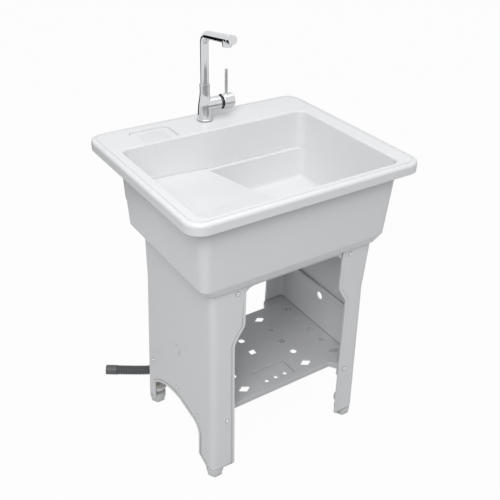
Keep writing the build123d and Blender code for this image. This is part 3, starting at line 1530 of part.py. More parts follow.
cap_rear_x = tap_x + cap_rear_offset
cap_end_x = tap_x + cap_end_offset
cap_radius = cap_diameter / 2
lever_x = tap_x + lever_offset
grub_x = tap_x + grub_offset
lever_seat_z = valve_axis_z + cap_radius - lever_seat_depth
cavity_radius = ball_radius + ball_gap
socket_radius = stem_diameter / 2 + driver_clearance
with BuildPart() as handle_cap:
    with BuildSketch(Plane.XZ.offset(-tap_y)) as cap_profile:
        with BuildLine():
            cavity_arc = ThreePointArc(
                valve_point(pivot_x + sqrt(cavity_radius**2 - socket_radius**2), socket_radius),
                valve_point(pivot_x + cavity_radius / sqrt(2), cavity_radius / sqrt(2)),
                valve_point(cap_rear_x, sqrt(cavity_radius**2 - (pivot_x - cap_rear_x) ** 2)),
            )
            Polyline(
                cavity_arc @ 1,
                valve_point(cap_rear_x, cap_radius),
                valve_point(cap_end_x, cap_radius),
                valve_point(cap_end_x, 0),
                valve_point(pivot_x + stem_length + joint_gap, 0),
                valve_point(pivot_x + stem_length + joint_gap, socket_radius),
                cavity_arc @ 0,
            )
        make_face()
        rear_rim = cap_profile.vertices().sort_by_distance(valve_point(cap_rear_x, cap_radius))[0]
        fillet(rear_rim, valve_edge_radius)
        end_rim = cap_profile.vertices().sort_by_distance(valve_point(cap_end_x, cap_radius))[0]
        fillet(end_rim, cap_edge_radius)
    revolve(axis=Axis((0, tap_y, valve_axis_z), (1, 0, 0)))
    with BuildSketch(Plane.XY.offset(lever_seat_z)):
        with Locations((lever_x, tap_y)):
            Circle(lever_diameter / 2 + joint_gap)
    extrude(amount=cap_radius, mode=Mode.SUBTRACT)
    with BuildSketch(Plane.XY.offset(lever_seat_z)):
        with Locations((lever_x, tap_y)):
            Circle(lever_thread_diameter / 2 + driver_clearance)
    extrude(amount=-lever_thread_length - joint_gap, mode=Mode.SUBTRACT)
    with BuildSketch(Plane.XY.offset(valve_axis_z)):
        with Locations((grub_x, tap_y)):
            Circle(grub_diameter / 2 + driver_clearance)
    extrude(amount=-cap_diameter, mode=Mode.SUBTRACT)
handle_cap.part.label = "handle_cap"
export_step(handle_cap.part, "parts/handle_cap.step")

with BuildPart() as lever_pin:
    with BuildSketch(Plane.XY.offset(lever_seat_z)):
        with Locations((lever_x, tap_y)):
            Circle(lever_diameter / 2)
    extrude(amount=lever_length)
    fillet(lever_pin.edges().group_by(Axis.Z)[-1], lever_edge_radius)
    with BuildSketch(Plane.XY.offset(lever_seat_z)):
        with Locations((lever_x, tap_y)):
            Circle(lever_thread_diameter / 2)
    extrude(amount=-lever_thread_length)
lever_pin.part.label = "lever_pin"
export_step(lever_pin.part, "parts/lever_pin.step")

grub_top = valve_axis_z - stem_diameter / 2 - driver_clearance
with BuildPart() as handle_grub_screw:
    with BuildSketch(Plane.XY.offset(grub_top)):
        with Locations((grub_x, tap_y)):
            Circle(grub_diameter / 2)
    extrude(amount=-(cap_radius - stem_diameter / 2 - 2 * joint_gap))
handle_grub_screw.part.label = "handle_grub_screw"
export_step(handle_grub_screw.part, "parts/handle_grub_screw.step")

# ---------------------------------------------------------------- spout
spigot_radius = spout_socket_diameter / 2 - spout_fit_clearance
spigot_bottom = body_top_z - spout_socket_depth + joint_gap
collar_top = body_top_z + collar_height
arm_slope = radians(spout_arm_rise)
knee_z = rim_top + spout_arm_height
arm_end_y = tap_y - spout_arm_reach
arm_end_z = knee_z + spout_arm_reach * tan(arm_slope)
arm_direction = Vector(0, -cos(arm_slope), sin(arm_slope))
groove_radius = spigot_radius - oring_section - spout_fit_clearance
oring_levels = [body_top_z - depth for depth in oring_depths]
clip_z = body_top_z - clip_depth
aerator_y = tap_y - aerator_reach
aerator_face_z = rim_top + aerator_face_height

with BuildLine() as spout_line:
    FilletPolyline(
        (tap_x, tap_y, collar_top),
        (tap_x, tap_y, knee_z),
        (tap_x, arm_end_y, arm_end_z),
        radius=spout_bend_radius,
    )
straight_run = spout_line.edges().filter_by(Axis.Z)[0]
bend_run = spout_line.edges().filter_by(GeomType.CIRCLE)[0]
neck_wire = Wire([straight_run, bend_run])
bend_setback = spout_bend_radius * tan((pi / 2 - arm_slope) / 2)
arm_start_point = Vector(tap_x, tap_y, knee_z) + arm_direction * bend_setback
arm_end_point = Vector(tap_x, arm_end_y, arm_end_z)


def arm_plane(origin):
    """A plane across the spout's arm, with its X axis level."""
    return Plane(origin=origin, x_dir=(1, 0, 0), z_dir=arm_direction)


with BuildPart() as spout:
    with BuildSketch(Plane.XY.offset(collar_top)):
        with Locations((tap_x, tap_y)):
            Circle(spout_diameter / 2)
    sweep(path=neck_wire)
    with BuildSketch(arm_plane(arm_start_point)) as arm_start:
        Circle(spout_diameter / 2)
    with BuildSketch(arm_plane(arm_end_point)) as arm_end:
        Ellipse(spout_end_width / 2, spout_end_height / 2)
    loft(sections=[arm_start.sketch, arm_end.sketch])
    fillet(spout.faces().sort_by(Axis.Y)[0].edges(), spout_end_edge)
    with BuildSketch(Plane.XY.offset(aerator_face_z)):
        with Locations((tap_x, aerator_y)):
            Circle(aerator_boss_diameter / 2)
    extrude(amount=spout_end_height / 2)
    with BuildSketch(Plane.XY.offset(spigot_bottom)):
        with Locations((tap_x, tap_y)):
            Circle(spigot_radius)
    extrude(amount=collar_top - spigot_bottom)
    for level in oring_levels:
        with BuildSketch(Plane.XY.offset(level - oring_groove_width / 2)):
            with Locations((tap_x, tap_y)):
                Circle(spout_socket_diameter)
                Circle(groove_radius, mode=Mode.SUBTRACT)
        extrude(amount=oring_groove_width, mode=Mode.SUBTRACT)
    with BuildSketch(Plane.XY.offset(clip_z - driver_clearance)):
        with Locations((tap_x, tap_y)):
            Circle(spout_socket_diameter)
            Circle(spigot_radius - clip_width / 2, mode=Mode.SUBTRACT)
    extrude(amount=clip_thickness + 2 * driver_clearance, mode=Mode.SUBTRACT)
    # Waterway, and the threaded socket for the aerator
    with BuildSketch(Plane.XY.offset(spigot_bottom)):
        with Locations((tap_x, tap_y)):
            Circle(spout_bore / 2)
    extrude(amount=collar_top - spigot_bottom, mode=Mode.SUBTRACT)
    with BuildSketch(Plane.XY.offset(collar_top)):
        with Locations((tap_x, tap_y)):
            Circle(spout_bore / 2)
    sweep(path=neck_wire, mode=Mode.SUBTRACT)
    with BuildSketch(arm_plane(arm_start_point)):
        Circle(spout_bore / 2)
    extrude(amount=aerator_reach - spout_bend_radius, mode=Mode.SUBTRACT)
    with BuildSketch(Plane.XY.offset(aerator_face_z)):
        with Locations((tap_x, aerator_y)):
            Circle(aerator_diameter / 2 - aerator_wall / 2 + driver_clearance)
    extrude(amount=aerator_thread_height + aerator_wall, mode=Mode.SUBTRACT)
spout.part.label = "spout"
export_step(spout.part, "parts/spout.step")

with BuildPart() as spout_collar:
    add(tap_ring(collar_diameter / 2, spigot_radius + driver_clearance,
                 body_top_z + collar_gap, collar_height - collar_gap))
spout_collar.part.label = "spout_collar"
export_step(spout_collar.part, "parts/spout_collar.step")

with BuildPart() as spout_orings:
    with Locations(*[(tap_x, tap_y, level) for level in oring_levels]):
        Torus(groove_radius + oring_section / 2 + driver_clearance / 2, oring_section / 2)
spout_orings.part.label = "spout_orings"
export_step(spout_orings.part, "parts/spout_orings.step")

with BuildPart() as spout_clip:
    with BuildSketch(Plane.XY.offset(clip_z)):
        with Locations((tap_x, tap_y)):
            Circle(spigot_radius - clip_width / 2 + clip_width)
            Circle(spigot_radius - clip_width / 2 + driver_clearance, mode=Mode.SUBTRACT)
        with Locations((tap_x, tap_y - spigot_radius)):
            Rectangle(spigot_radius, spigot_radius, mode=Mode.SUBTRACT)
    extrude(amount=clip_thickness)
spout_clip.part.label = "spout_clip"
export_step(spout_clip.part, "parts/spout_clip.step")

housing_thread = aerator_diameter / 2 - aerator_wall / 2
housing_inner = housing_thread - aerator_wall
with BuildPart() as aerator_housing:
    with BuildSketch(Plane.XY.offset(aerator_face_z - aerator_height)):
        with Locations((tap_x, aerator_y)):
            Circle(aerator_diameter / 2)
    extrude(amount=aerator_height)
    with BuildSketch(Plane.XY.offset(aerator_face_z)):
        with Locations((tap_x, aerator_y)):
            Circle(housing_thread)
    extrude(amount=aerator_thread_height - aerator_wall / 2)
    with Locations((tap_x, aerator_y, aerator_face_z)):
        Hole(housing_inner - aerator_wall / 2, aerator_thread_height * 2)
    with BuildSketch(Plane.XY.offset(aerator_face_z - aerator_height + aerator_wall)):
        with Locations((tap_x, aerator_y)):
            Circle(housing_inner)
    extrude(amount=aerator_thread_height * 2, mode=Mode.SUBTRACT)
aerator_housing.part.label = "aerator_housing"
export_step(aerator_housing.part, "parts/aerator_housing.step")

with BuildPart() as aerator_insert:
    with BuildSketch(Plane.XY.offset(aerator_face_z - aerator_height + aerator_wall)):
        with Locations((tap_x, aerator_y)):
            Circle(housing_inner - driver_clearance)
            with HexLocations(aerator_hole_diameter, 5, 5, major_radius=True):
                Circle(aerator_hole_diameter / 2, mode=Mode.SUBTRACT)
    extrude(amount=aerator_mesh_thickness)
aerator_insert.part.label = "aerator_insert"
export_step(aerator_insert.part, "parts/aerator_insert.step")

gasket_bottom = aerator_face_z + aerator_thread_height - aerator_wall / 2
with BuildPart() as aerator_gasket:
    with BuildSketch(Plane.XY.offset(gasket_bottom)):
        with Locations((tap_x, aerator_y)):
            Circle(housing_thread)
            Circle(housing_inner, mode=Mode.SUBTRACT)
    extrude(amount=aerator_wall)
aerator_gasket.part.label = "aerator_gasket"
export_step(aerator_gasket.part, "parts/aerator_gasket.step")
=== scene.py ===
"""Looks of the utility laundry sink: its finishes, drain hose, light and camera.

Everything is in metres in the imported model's frame: X to the right, Y to the
back and Z up, with the origin on the floor under the middle of the rim.
"""

from __future__ import annotations

import json
import logging
import math
from dataclasses import dataclass
from enum import Enum
from typing import Sequence

import bmesh
import bpy
from mathutils import Matrix, Vector
from mathutils.kdtree import KDTree


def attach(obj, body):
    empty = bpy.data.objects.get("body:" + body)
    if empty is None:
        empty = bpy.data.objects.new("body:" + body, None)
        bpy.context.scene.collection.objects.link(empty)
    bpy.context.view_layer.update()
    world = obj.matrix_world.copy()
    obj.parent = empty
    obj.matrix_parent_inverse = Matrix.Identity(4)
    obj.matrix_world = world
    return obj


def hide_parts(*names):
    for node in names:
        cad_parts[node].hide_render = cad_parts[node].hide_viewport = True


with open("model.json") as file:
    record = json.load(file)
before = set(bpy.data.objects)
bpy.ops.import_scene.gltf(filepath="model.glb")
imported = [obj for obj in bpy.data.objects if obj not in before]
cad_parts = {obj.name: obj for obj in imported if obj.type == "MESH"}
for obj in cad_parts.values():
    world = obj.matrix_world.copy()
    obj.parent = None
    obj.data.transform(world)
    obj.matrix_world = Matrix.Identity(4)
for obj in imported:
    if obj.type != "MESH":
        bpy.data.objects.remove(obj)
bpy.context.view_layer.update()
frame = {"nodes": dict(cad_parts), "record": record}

logging.basicConfig(level=logging.INFO, format="%(name)s: %(message)s")
log = logging.getLogger("laundry_sink")

Colour = tuple[float, float, float]
Point = tuple[float, float, float]


class Body(str, Enum):
    """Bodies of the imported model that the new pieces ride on."""

    STAND = "root"


class Slot(str, Enum):
    """Material slots of the record."""

    TUB = "tub_plastic"
    STAND = "stand_plastic"
    SHELF = "shelf_plastic"
    FOOT = "foot_plastic"
    DRAIN = "drain_plastic"
    VALVE = "cartridge_plastic"
    HOSE = "hose_plastic"
    BLACK = "black_plastic"
    RUBBER = "rubber"
    CHROME = "tap_chrome"
    FLANGE = "drain_steel"
    SCREW = "screw_steel"
    CLAMP = "clamp_steel"
    INNER = "inner_steel"
    TAP_BRASS = "tap_brass"
    INSERT = "insert_brass"


class Socket(str, Enum):
    """Kinds of socket that the shader groups have."""

    NUMBER = "NodeSocketFloat"
    COLOUR = "NodeSocketColor"
    VECTOR = "NodeSocketVector"


class Way(str, Enum):
    """Which way a socket of a shader group carries its value."""

    IN = "INPUT"
    OUT = "OUTPUT"


class Sum(str, Enum):
    """Sums that the shader groups do with two numbers."""

    PLUS = "ADD"
    MINUS = "SUBTRACT"
    TIMES = "MULTIPLY"
    LEAST = "MINIMUM"


# ------------------------------------------------------------------ objects
def scene_object(name: str, data: bpy.types.ID) -> bpy.types.Object:
    """Put a mesh, curve, lamp or camera into the scene.

    Args:
        name: Name of the object.
        data: What it holds.

    Returns:
        The object.
    """
    made = bpy.data.objects.new(name, data)
    bpy.context.scene.collection.objects.link(made)
    return made


def mesh_object(name: str, shape: bmesh.types.BMesh) -> bpy.types.Object:
    """Turn a shape into an object.

    Args:
        name: Name of the object and its mesh.
        shape: Its shape, which is freed.

    Returns:
        The object.
    """
    mesh = bpy.data.meshes.new(name)
    shape.to_mesh(mesh)
    shape.free()
    return scene_object(name, mesh)


def stage_object(name: str, shape: bmesh.types.BMesh) -> bpy.types.Object:
    """Turn a shape into an object for the studio, which is no part of the sink, as mesh_object
    makes it.

    Args:
        name: Name of the object and its mesh.
        shape: Its shape, which is freed.

    Returns:
        The object.
    """
    made = mesh_object(name, shape)
    return made


def aimed(place: Point, target: Point, axis: str) -> Matrix:
    """A turn that points an axis from one place to another.

    Args:
        place: Where the axis starts.
        target: The point that it faces.
        axis: The axis, in Blender's own words.

    Returns:
        The turn.
    """
    return (Vector(target) - Vector(place)).to_track_quat(axis, "Y").to_matrix()


# ------------------------------------------------------------------ shader groups
class ShaderGroup:
    """A node group that several finishes share, built once.

    It takes a colour and some numbers, and gives a colour, a roughness and a normal.
    """

    NOISE_MIDDLE = 0.5

    def __init__(self, name: str, colour: Colour, numbers: dict[str, float]) -> None:
        """Start a group with its sockets.

        Args:
            name: Name of the group.
            colour: Its colour while none is set.
            numbers: Names of its numbers and their values while none are set.
        """
        self.tree = bpy.data.node_groups.new(name, "ShaderNodeTree")
        self.socket("Colour", Socket.COLOUR, Way.IN, (*colour, 1.0))
        for title, value in numbers.items():
            self.socket(title, Socket.NUMBER, Way.IN, value)
        self.socket("Colour", Socket.COLOUR, Way.OUT)
        self.socket("Roughness", Socket.NUMBER, Way.OUT)
        self.socket("Normal", Socket.VECTOR, Way.OUT)
        self.inlet = self.tree.nodes.new("NodeGroupInput")
        self.outlet = self.tree.nodes.new("NodeGroupOutput")

    def socket(self, name: str, kind: Socket, way: Way, default: object = None) -> None:
        """Add one socket to the group's outside.

        Args:
            name: Name of the socket.
            kind: What it carries.
            way: Whether it comes in or goes out.
            default: Its value while nothing is linked.
        """
        made = self.tree.interface.new_socket(
            name=name, in_out=way.value, socket_type=kind.value
        )
        if default is not None:
            made.default_value = default

    def value(self, name: str) -> bpy.types.NodeSocket:
        """The socket that brings in one of the group's values."""
        return self.inlet.outputs[name]

    def node(self, kind: str, **settings: object) -> bpy.types.Node:
        """Add a node with the given settings.

        Args:
            kind: Blender's name for the node.
            **settings: Attributes set on it.

        Returns:
            The new node.
        """
        made = self.tree.nodes.new(kind)
        for key, value in settings.items():
            setattr(made, key, value)
        return made

    def feed(
        self, value: float | bpy.types.NodeSocket, target: bpy.types.NodeSocket
    ) -> None:
        """Link a socket to an input, or set the input to a number.

        Args:
            value: A socket or a number.
            target: The input.
        """
        if isinstance(value, bpy.types.NodeSocket):
            self.tree.links.new(value, target)
        else:
            target.default_value = value

    def math(
        self,
        operation: Sum,
        first: float | bpy.types.NodeSocket,
        second: float | bpy.types.NodeSocket,
    ) -> bpy.types.NodeSocket:
        """Combine two numbers.

        Args:
            operation: The sum to do.
            first: A socket or a number.
            second: A socket or a number.

        Returns:
            The result's socket.
        """
        made = self.node("ShaderNodeMath", operation=operation.value)
        for place, value in enumerate((first, second)):
            self.feed(value, made.inputs[place])
        return made.outputs[0]

    def noise(
        self,
        scale: float | bpy.types.NodeSocket,
        detail: float,
        stretch: Point = (1.0, 1.0, 1.0),
    ) -> bpy.types.NodeSocket:
        """Noise on Object coordinates.

        Args:
            scale: A socket or a number of waves in a metre.
            detail: Number of finer layers.
            stretch: Share of the scale along each axis.

        Returns:
            The noise's value, from 0 to 1.
        """
        place = self.node("ShaderNodeTexCoord")
        mapping = self.node("ShaderNodeMapping")
        mapping.inputs["Scale"].default_value = stretch
        made = self.node("ShaderNodeTexNoise")
        made.inputs["Detail"].default_value = detail
        self.feed(place.outputs["Object"], mapping.inputs["Vector"])
        self.feed(mapping.outputs["Vector"], made.inputs["Vector"])
        self.feed(scale, made.inputs["Scale"])
        return made.outputs["Fac"]

    def swing(self, noise: bpy.types.NodeSocket) -> bpy.types.NodeSocket:
        """A noise that swings about zero."""
        return self.math(Sum.MINUS, noise, self.NOISE_MIDDLE)

    def shade(self, swing: bpy.types.NodeSocket) -> bpy.types.NodeSocket:
        """Share of the colour's brightness where the tone drifts with a swing."""
        return self.math(Sum.PLUS, self.math(Sum.TIMES, swing, self.value("Drift")), 1.0)

    def give_colour(self, share: bpy.types.NodeSocket) -> None:
        """Give out the colour.

        Args:
            share: Share of its brightness.
        """
        tone = self.node("ShaderNodeVectorMath", operation="SCALE")
        self.feed(self.value("Colour"), tone.inputs[0])
        self.feed(share, tone.inputs["Scale"])
        self.feed(tone.outputs[0], self.outlet.inputs["Colour"])

    def give_gloss(self, swing: bpy.types.NodeSocket) -> None:
        """Give out the roughness.

        Args:
            swing: The swing that makes it uneven.
        """
        uneven = self.math(Sum.TIMES, swing, self.value("Gloss Spread"))
        rough = self.math(Sum.PLUS, self.value("Roughness"), uneven)
        self.feed(rough, self.outlet.inputs["Roughness"])

    def give_surface(
        self,
        height: bpy.types.NodeSocket,
        depth: bpy.types.NodeSocket,
        base: bpy.types.NodeSocket | None = None,
    ) -> None:
        """Give out the normal of a fine relief.

        Args:
            height: The relief, from 0 to 1.
            depth: Its depth in metres.
            base: The normal that it stands on, or none for the face's own.
        """
        bump = self.node("ShaderNodeBump")
        bump.inputs["Strength"].default_value = 1.0
        self.feed(height, bump.inputs["Height"])
        self.feed(depth, bump.inputs["Distance"])
        if base is not None:
            self.feed(base, bump.inputs["Normal"])
        self.feed(bump.outputs["Normal"], self.outlet.inputs["Normal"])


class MouldedSkin(ShaderGroup):
    """A moulding's skin: tone drift, painted shade in creases, soft edges with a painted
    highlight, fine grain.

    Sizes are waves in a metre, and softness, reach and depth are metres. Details are finer
    layers of a noise, rays are the samples of one point, and the edge's gain is how fast the
    painted highlight brightens the skin with the turn of its edge.
    """

    NUMBERS = {
        "Drift": 0.02,
        "Roughness": 0.35,
        "Gloss Spread": 0.08,
        "Grain Size": 900.0,
        "Grain Depth": 0.00005,
        "Edge Softness": 0.0012,
        # Edge Tone and Edge Reach set a painted highlight along edges; Crease Shade and Crease
        # Reach set painted shade in creases.
        "Edge Tone": 0.35,
        "Edge Reach": 0.0026,
        "Crease Shade": 0.55,
        "Crease Reach": 0.004,
    }
    GREY: Colour = (0.8, 0.8, 0.8)
    TONE_SIZE = 6.0
    TONE_DETAIL = 3.0
    GLOSS_SIZE = 35.0
    GLOSS_DETAIL = 4.0
    GRAIN_DETAIL = 2.0
    CREASE_RAYS = 8
    EDGE_RAYS = 8
    SOFTNESS_RAYS = 6
    EDGE_GAIN = 5.0

    def __init__(self) -> None:
        """Build the group."""
        super().__init__("moulded skin", self.GREY, self.NUMBERS)
        shade = self.shade(self.swing(self.noise(self.TONE_SIZE, self.TONE_DETAIL)))
        # The colour takes the tone drift, painted shade in creases and a painted highlight on
        # edges.
        painted_crease_shade = self.painted_crease_shade()
        drift_and_highlight = self.math(Sum.TIMES, shade, self.painted_edge_highlight())
        self.give_colour(self.math(Sum.TIMES, drift_and_highlight, self.math(Sum.MINUS, 1.0, painted_crease_shade)))
        self.give_gloss(self.swing(self.noise(self.GLOSS_SIZE, self.GLOSS_DETAIL)))
        soft = self.node("ShaderNodeBevel", samples=self.SOFTNESS_RAYS)
        self.feed(self.value("Edge Softness"), soft.inputs["Radius"])
        grain = self.noise(self.value("Grain Size"), self.GRAIN_DETAIL)
        self.give_surface(grain, self.value("Grain Depth"), soft.outputs["Normal"])

    def painted_crease_shade(self) -> bpy.types.NodeSocket:
        """Painted shade in creases, which darkens the colour by ambient occlusion.

        Returns:
            The share of the brightness that it takes, 0 on open faces.
        """
        crease = self.node("ShaderNodeAmbientOcclusion", samples=self.CREASE_RAYS)
        self.feed(self.value("Crease Reach"), crease.inputs["Distance"])
        depth = self.math(Sum.MINUS, 1.0, crease.outputs["AO"])
        return self.math(Sum.TIMES, depth, self.value("Crease Shade"))

    def painted_edge_highlight(self) -> bpy.types.NodeSocket:
        """Painted highlight that makes the skin paler where it turns over an edge.

        Returns:
            The share of the brightness, 1 away from edges.
        """
        turned = self.node("ShaderNodeBevel", samples=self.EDGE_RAYS)
        self.feed(self.value("Edge Reach"), turned.inputs["Radius"])
        geometry = self.node("ShaderNodeNewGeometry")
        agree = self.node("ShaderNodeVectorMath", operation="DOT_PRODUCT")
        self.feed(turned.outputs["Normal"], agree.inputs[0])
        self.feed(geometry.outputs["Normal"], agree.inputs[1])
        apart = self.math(Sum.MINUS, 1.0, agree.outputs["Value"])
        bend = self.math(Sum.LEAST, self.math(Sum.TIMES, apart, self.EDGE_GAIN), 1.0)
        return self.math(Sum.PLUS, self.math(Sum.TIMES, bend, self.value("Edge Tone")), 1.0)


class WorkedMetal(ShaderGroup):
    """Metal worked by a tool or a cloth: streaks in its tone, gloss and surface.

    The streaks' size is waves in a metre across them, and their depth is metres.
    """

    NUMBERS = {
        "Drift": 0.05,
        "Roughness": 0.2,
        "Gloss Spread": 0.1,
        "Streak Size": 400.0,
        "Streak Depth": 0.00001,
    }
    GREY: Colour = (0.6, 0.6, 0.6)
    STREAK_DETAIL = 3.0
    STREAK_STRETCH: Point = (1.0, 1.0, 0.08)

    def __init__(self) -> None:
        """Build the group."""
        super().__init__("worked metal", self.GREY, self.NUMBERS)
        streaks = self.noise(
            self.value("Streak Size"), self.STREAK_DETAIL, self.STREAK_STRETCH
        )
        swing = self.swing(streaks)
        self.give_colour(self.shade(swing))
        self.give_gloss(swing)
        self.give_surface(streaks, self.value("Streak Depth"))


# ------------------------------------------------------------------ finishes
@dataclass(frozen=True)
class Finish:
    """A plastic or rubber whose surface comes from one of the shader groups.

    Attributes:
        name: Name of the material.
        colour: Its linear colour.
        roughness: Its roughness.
        values: Values for the shader group, where they differ from its own.
        metallic: Whether it is a metal, 0 or 1.
    """

    name: str
    colour: Colour
    roughness: float
    values: dict[str, float]
    metallic: float = 0.0

    def material(self, group: bpy.types.NodeTree) -> bpy.types.Material:
        """Build the material.

        Args:
            group: The shader group that this finish takes its surface from.

        Returns:
            The finished material.
        """
        made = bpy.data.materials.new(self.name)
        made.use_nodes = True
        nodes, links = made.node_tree.nodes, made.node_tree.links
        shader = nodes["Principled BSDF"]
        skin = nodes.new("ShaderNodeGroup")
        skin.node_tree = group
        skin.inputs["Colour"].default_value = (*self.colour, 1.0)
        skin.inputs["Roughness"].default_value = self.roughness
        for key, value in self.values.items():
            skin.inputs[key].default_value = value
        links.new(skin.outputs["Colour"], shader.inputs["Base Color"])
        links.new(skin.outputs["Roughness"], shader.inputs["Roughness"])
        links.new(skin.outputs["Normal"], shader.inputs["Normal"])
        shader.inputs["Metallic"].default_value = self.metallic
        return made


@dataclass(frozen=True)
class MetalFinish(Finish):
    """A bare or plated metal."""

    metallic: float = 1.0


MOULDINGS = {
    # Crease Shade paints shade into creases and Edge Tone paints a highlight along edges.
    Slot.TUB: Finish(
        "tub plastic",
        (0.79, 0.79, 0.795),
        0.34,
        {"Drift": 0.02, "Crease Shade": 0.35, "Edge Tone": 0.12},
    ),
    Slot.STAND: Finish(
        "stand plastic",
        (0.79, 0.79, 0.795),
        0.42,
        {
            "Drift": 0.03,
            "Crease Shade": 1.0,
            "Crease Reach": 0.005,
            "Edge Softness": 0.0005,
            "Edge Tone": 0.2,
        },
    ),
    Slot.SHELF: Finish("shelf plastic", (0.58, 0.58, 0.59), 0.48, {"Drift": 0.04}),
    Slot.FOOT: Finish("foot plastic", (0.70, 0.71, 0.71), 0.45, {"Drift": 0.05}),
    Slot.DRAIN: Finish("drain plastic", (0.72, 0.72, 0.72), 0.4, {"Drift": 0.03}),
    Slot.VALVE: Finish("valve plastic", (0.80, 0.80, 0.77), 0.4, {"Drift": 0.03}),
    Slot.HOSE: Finish(
        "hose plastic", (0.12, 0.122, 0.127), 0.42, {"Drift": 0.2, "Crease Shade": 0.9}
    ),
    Slot.BLACK: Finish("black plastic", (0.012, 0.012, 0.013), 0.25, {"Drift": 0.2}),
    Slot.RUBBER: Finish("black rubber", (0.03, 0.03, 0.03), 0.7, {"Drift": 0.2}),
}

METALS = {
    Slot.CHROME: MetalFinish(
        "polished chrome", (0.66, 0.67, 0.68), 0.05, {"Drift": 0.02, "Gloss Spread": 0.03}
    ),
    Slot.FLANGE: MetalFinish("pressed steel", (0.62, 0.62, 0.62), 0.25, {"Drift": 0.08}),
    Slot.SCREW: MetalFinish("plated steel", (0.66, 0.66, 0.67), 0.22, {"Drift": 0.1}),
    Slot.CLAMP: MetalFinish("band steel", (0.55, 0.55, 0.56), 0.28, {"Drift": 0.1}),
    Slot.INNER: MetalFinish("ground steel", (0.5, 0.5, 0.51), 0.3, {"Drift": 0.1}),
    Slot.TAP_BRASS: MetalFinish("turned brass", (0.66, 0.48, 0.22), 0.28, {"Drift": 0.1}),
    Slot.INSERT: MetalFinish("insert brass", (0.66, 0.48, 0.22), 0.3, {"Drift": 0.1}),
}


class FinishShelf:
    """Every finish of the sink, built once and handed out by slot."""

    def __init__(self) -> None:
        """Build both shader groups and all the materials."""
        self.materials: dict[Slot, bpy.types.Material] = {}
        for group, finishes in ((MouldedSkin(), MOULDINGS), (WorkedMetal(), METALS)):
            for slot, finish in finishes.items():
                self.materials[slot] = finish.material(group.tree)

    def dress(self, piece: bpy.types.Object, slot: Slot) -> None:
        """Give a piece the material of a slot.

        Args:
            piece: The object to dress.
            slot: The slot.
        """
        piece.data.materials.clear()
        piece.data.materials.append(self.materials[slot])


# ------------------------------------------------------------------ sub-assemblies
@dataclass(frozen=True)
class SubAssembly:
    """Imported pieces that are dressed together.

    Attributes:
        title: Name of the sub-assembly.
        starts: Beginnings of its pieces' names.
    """

    title: str
    starts: tuple[str, ...]

    def pieces(self) -> dict[str, Slot]:
        """Collect the sub-assembly's pieces from the record.

        Returns:
            The slot of each piece, by the piece's name.
        """
        return {
            subpart["node"]: Slot(subpart["material_slot"])
            for subpart in frame["record"]["subparts"]
            if subpart["node"].startswith(self.starts)
        }

    def dress(self, finishes: FinishShelf) -> int:
        """Dress every piece of the sub-assembly.

        Args:
            finishes: Where the materials come from.

        Returns:
            How many pieces were dressed.
        """
        pieces = self.pieces()
        for node, slot in pieces.items():
            finishes.dress(frame["nodes"][node], slot)
            log.info("%s: dressed %s in %s", self.title, node, slot.value)
        return len(pieces)


SUB_ASSEMBLIES = (
    SubAssembly("tub", ("tub",)),
    SubAssembly(
        "stand", ("side_panel", "front_beam", "back_beam", "frame_screws", "hole_plug")
    ),
    SubAssembly("shelf", ("shelf",)),
    SubAssembly("feet", ("foot",)),
    SubAssembly("waste", ("drain", "strainer", "basket", "tail_nut", "hose")),
    SubAssembly(
        "tap", ("tap", "mounting", "spout", "aerator", "cartridge", "handle", "lever", "tilt")
    ),
)


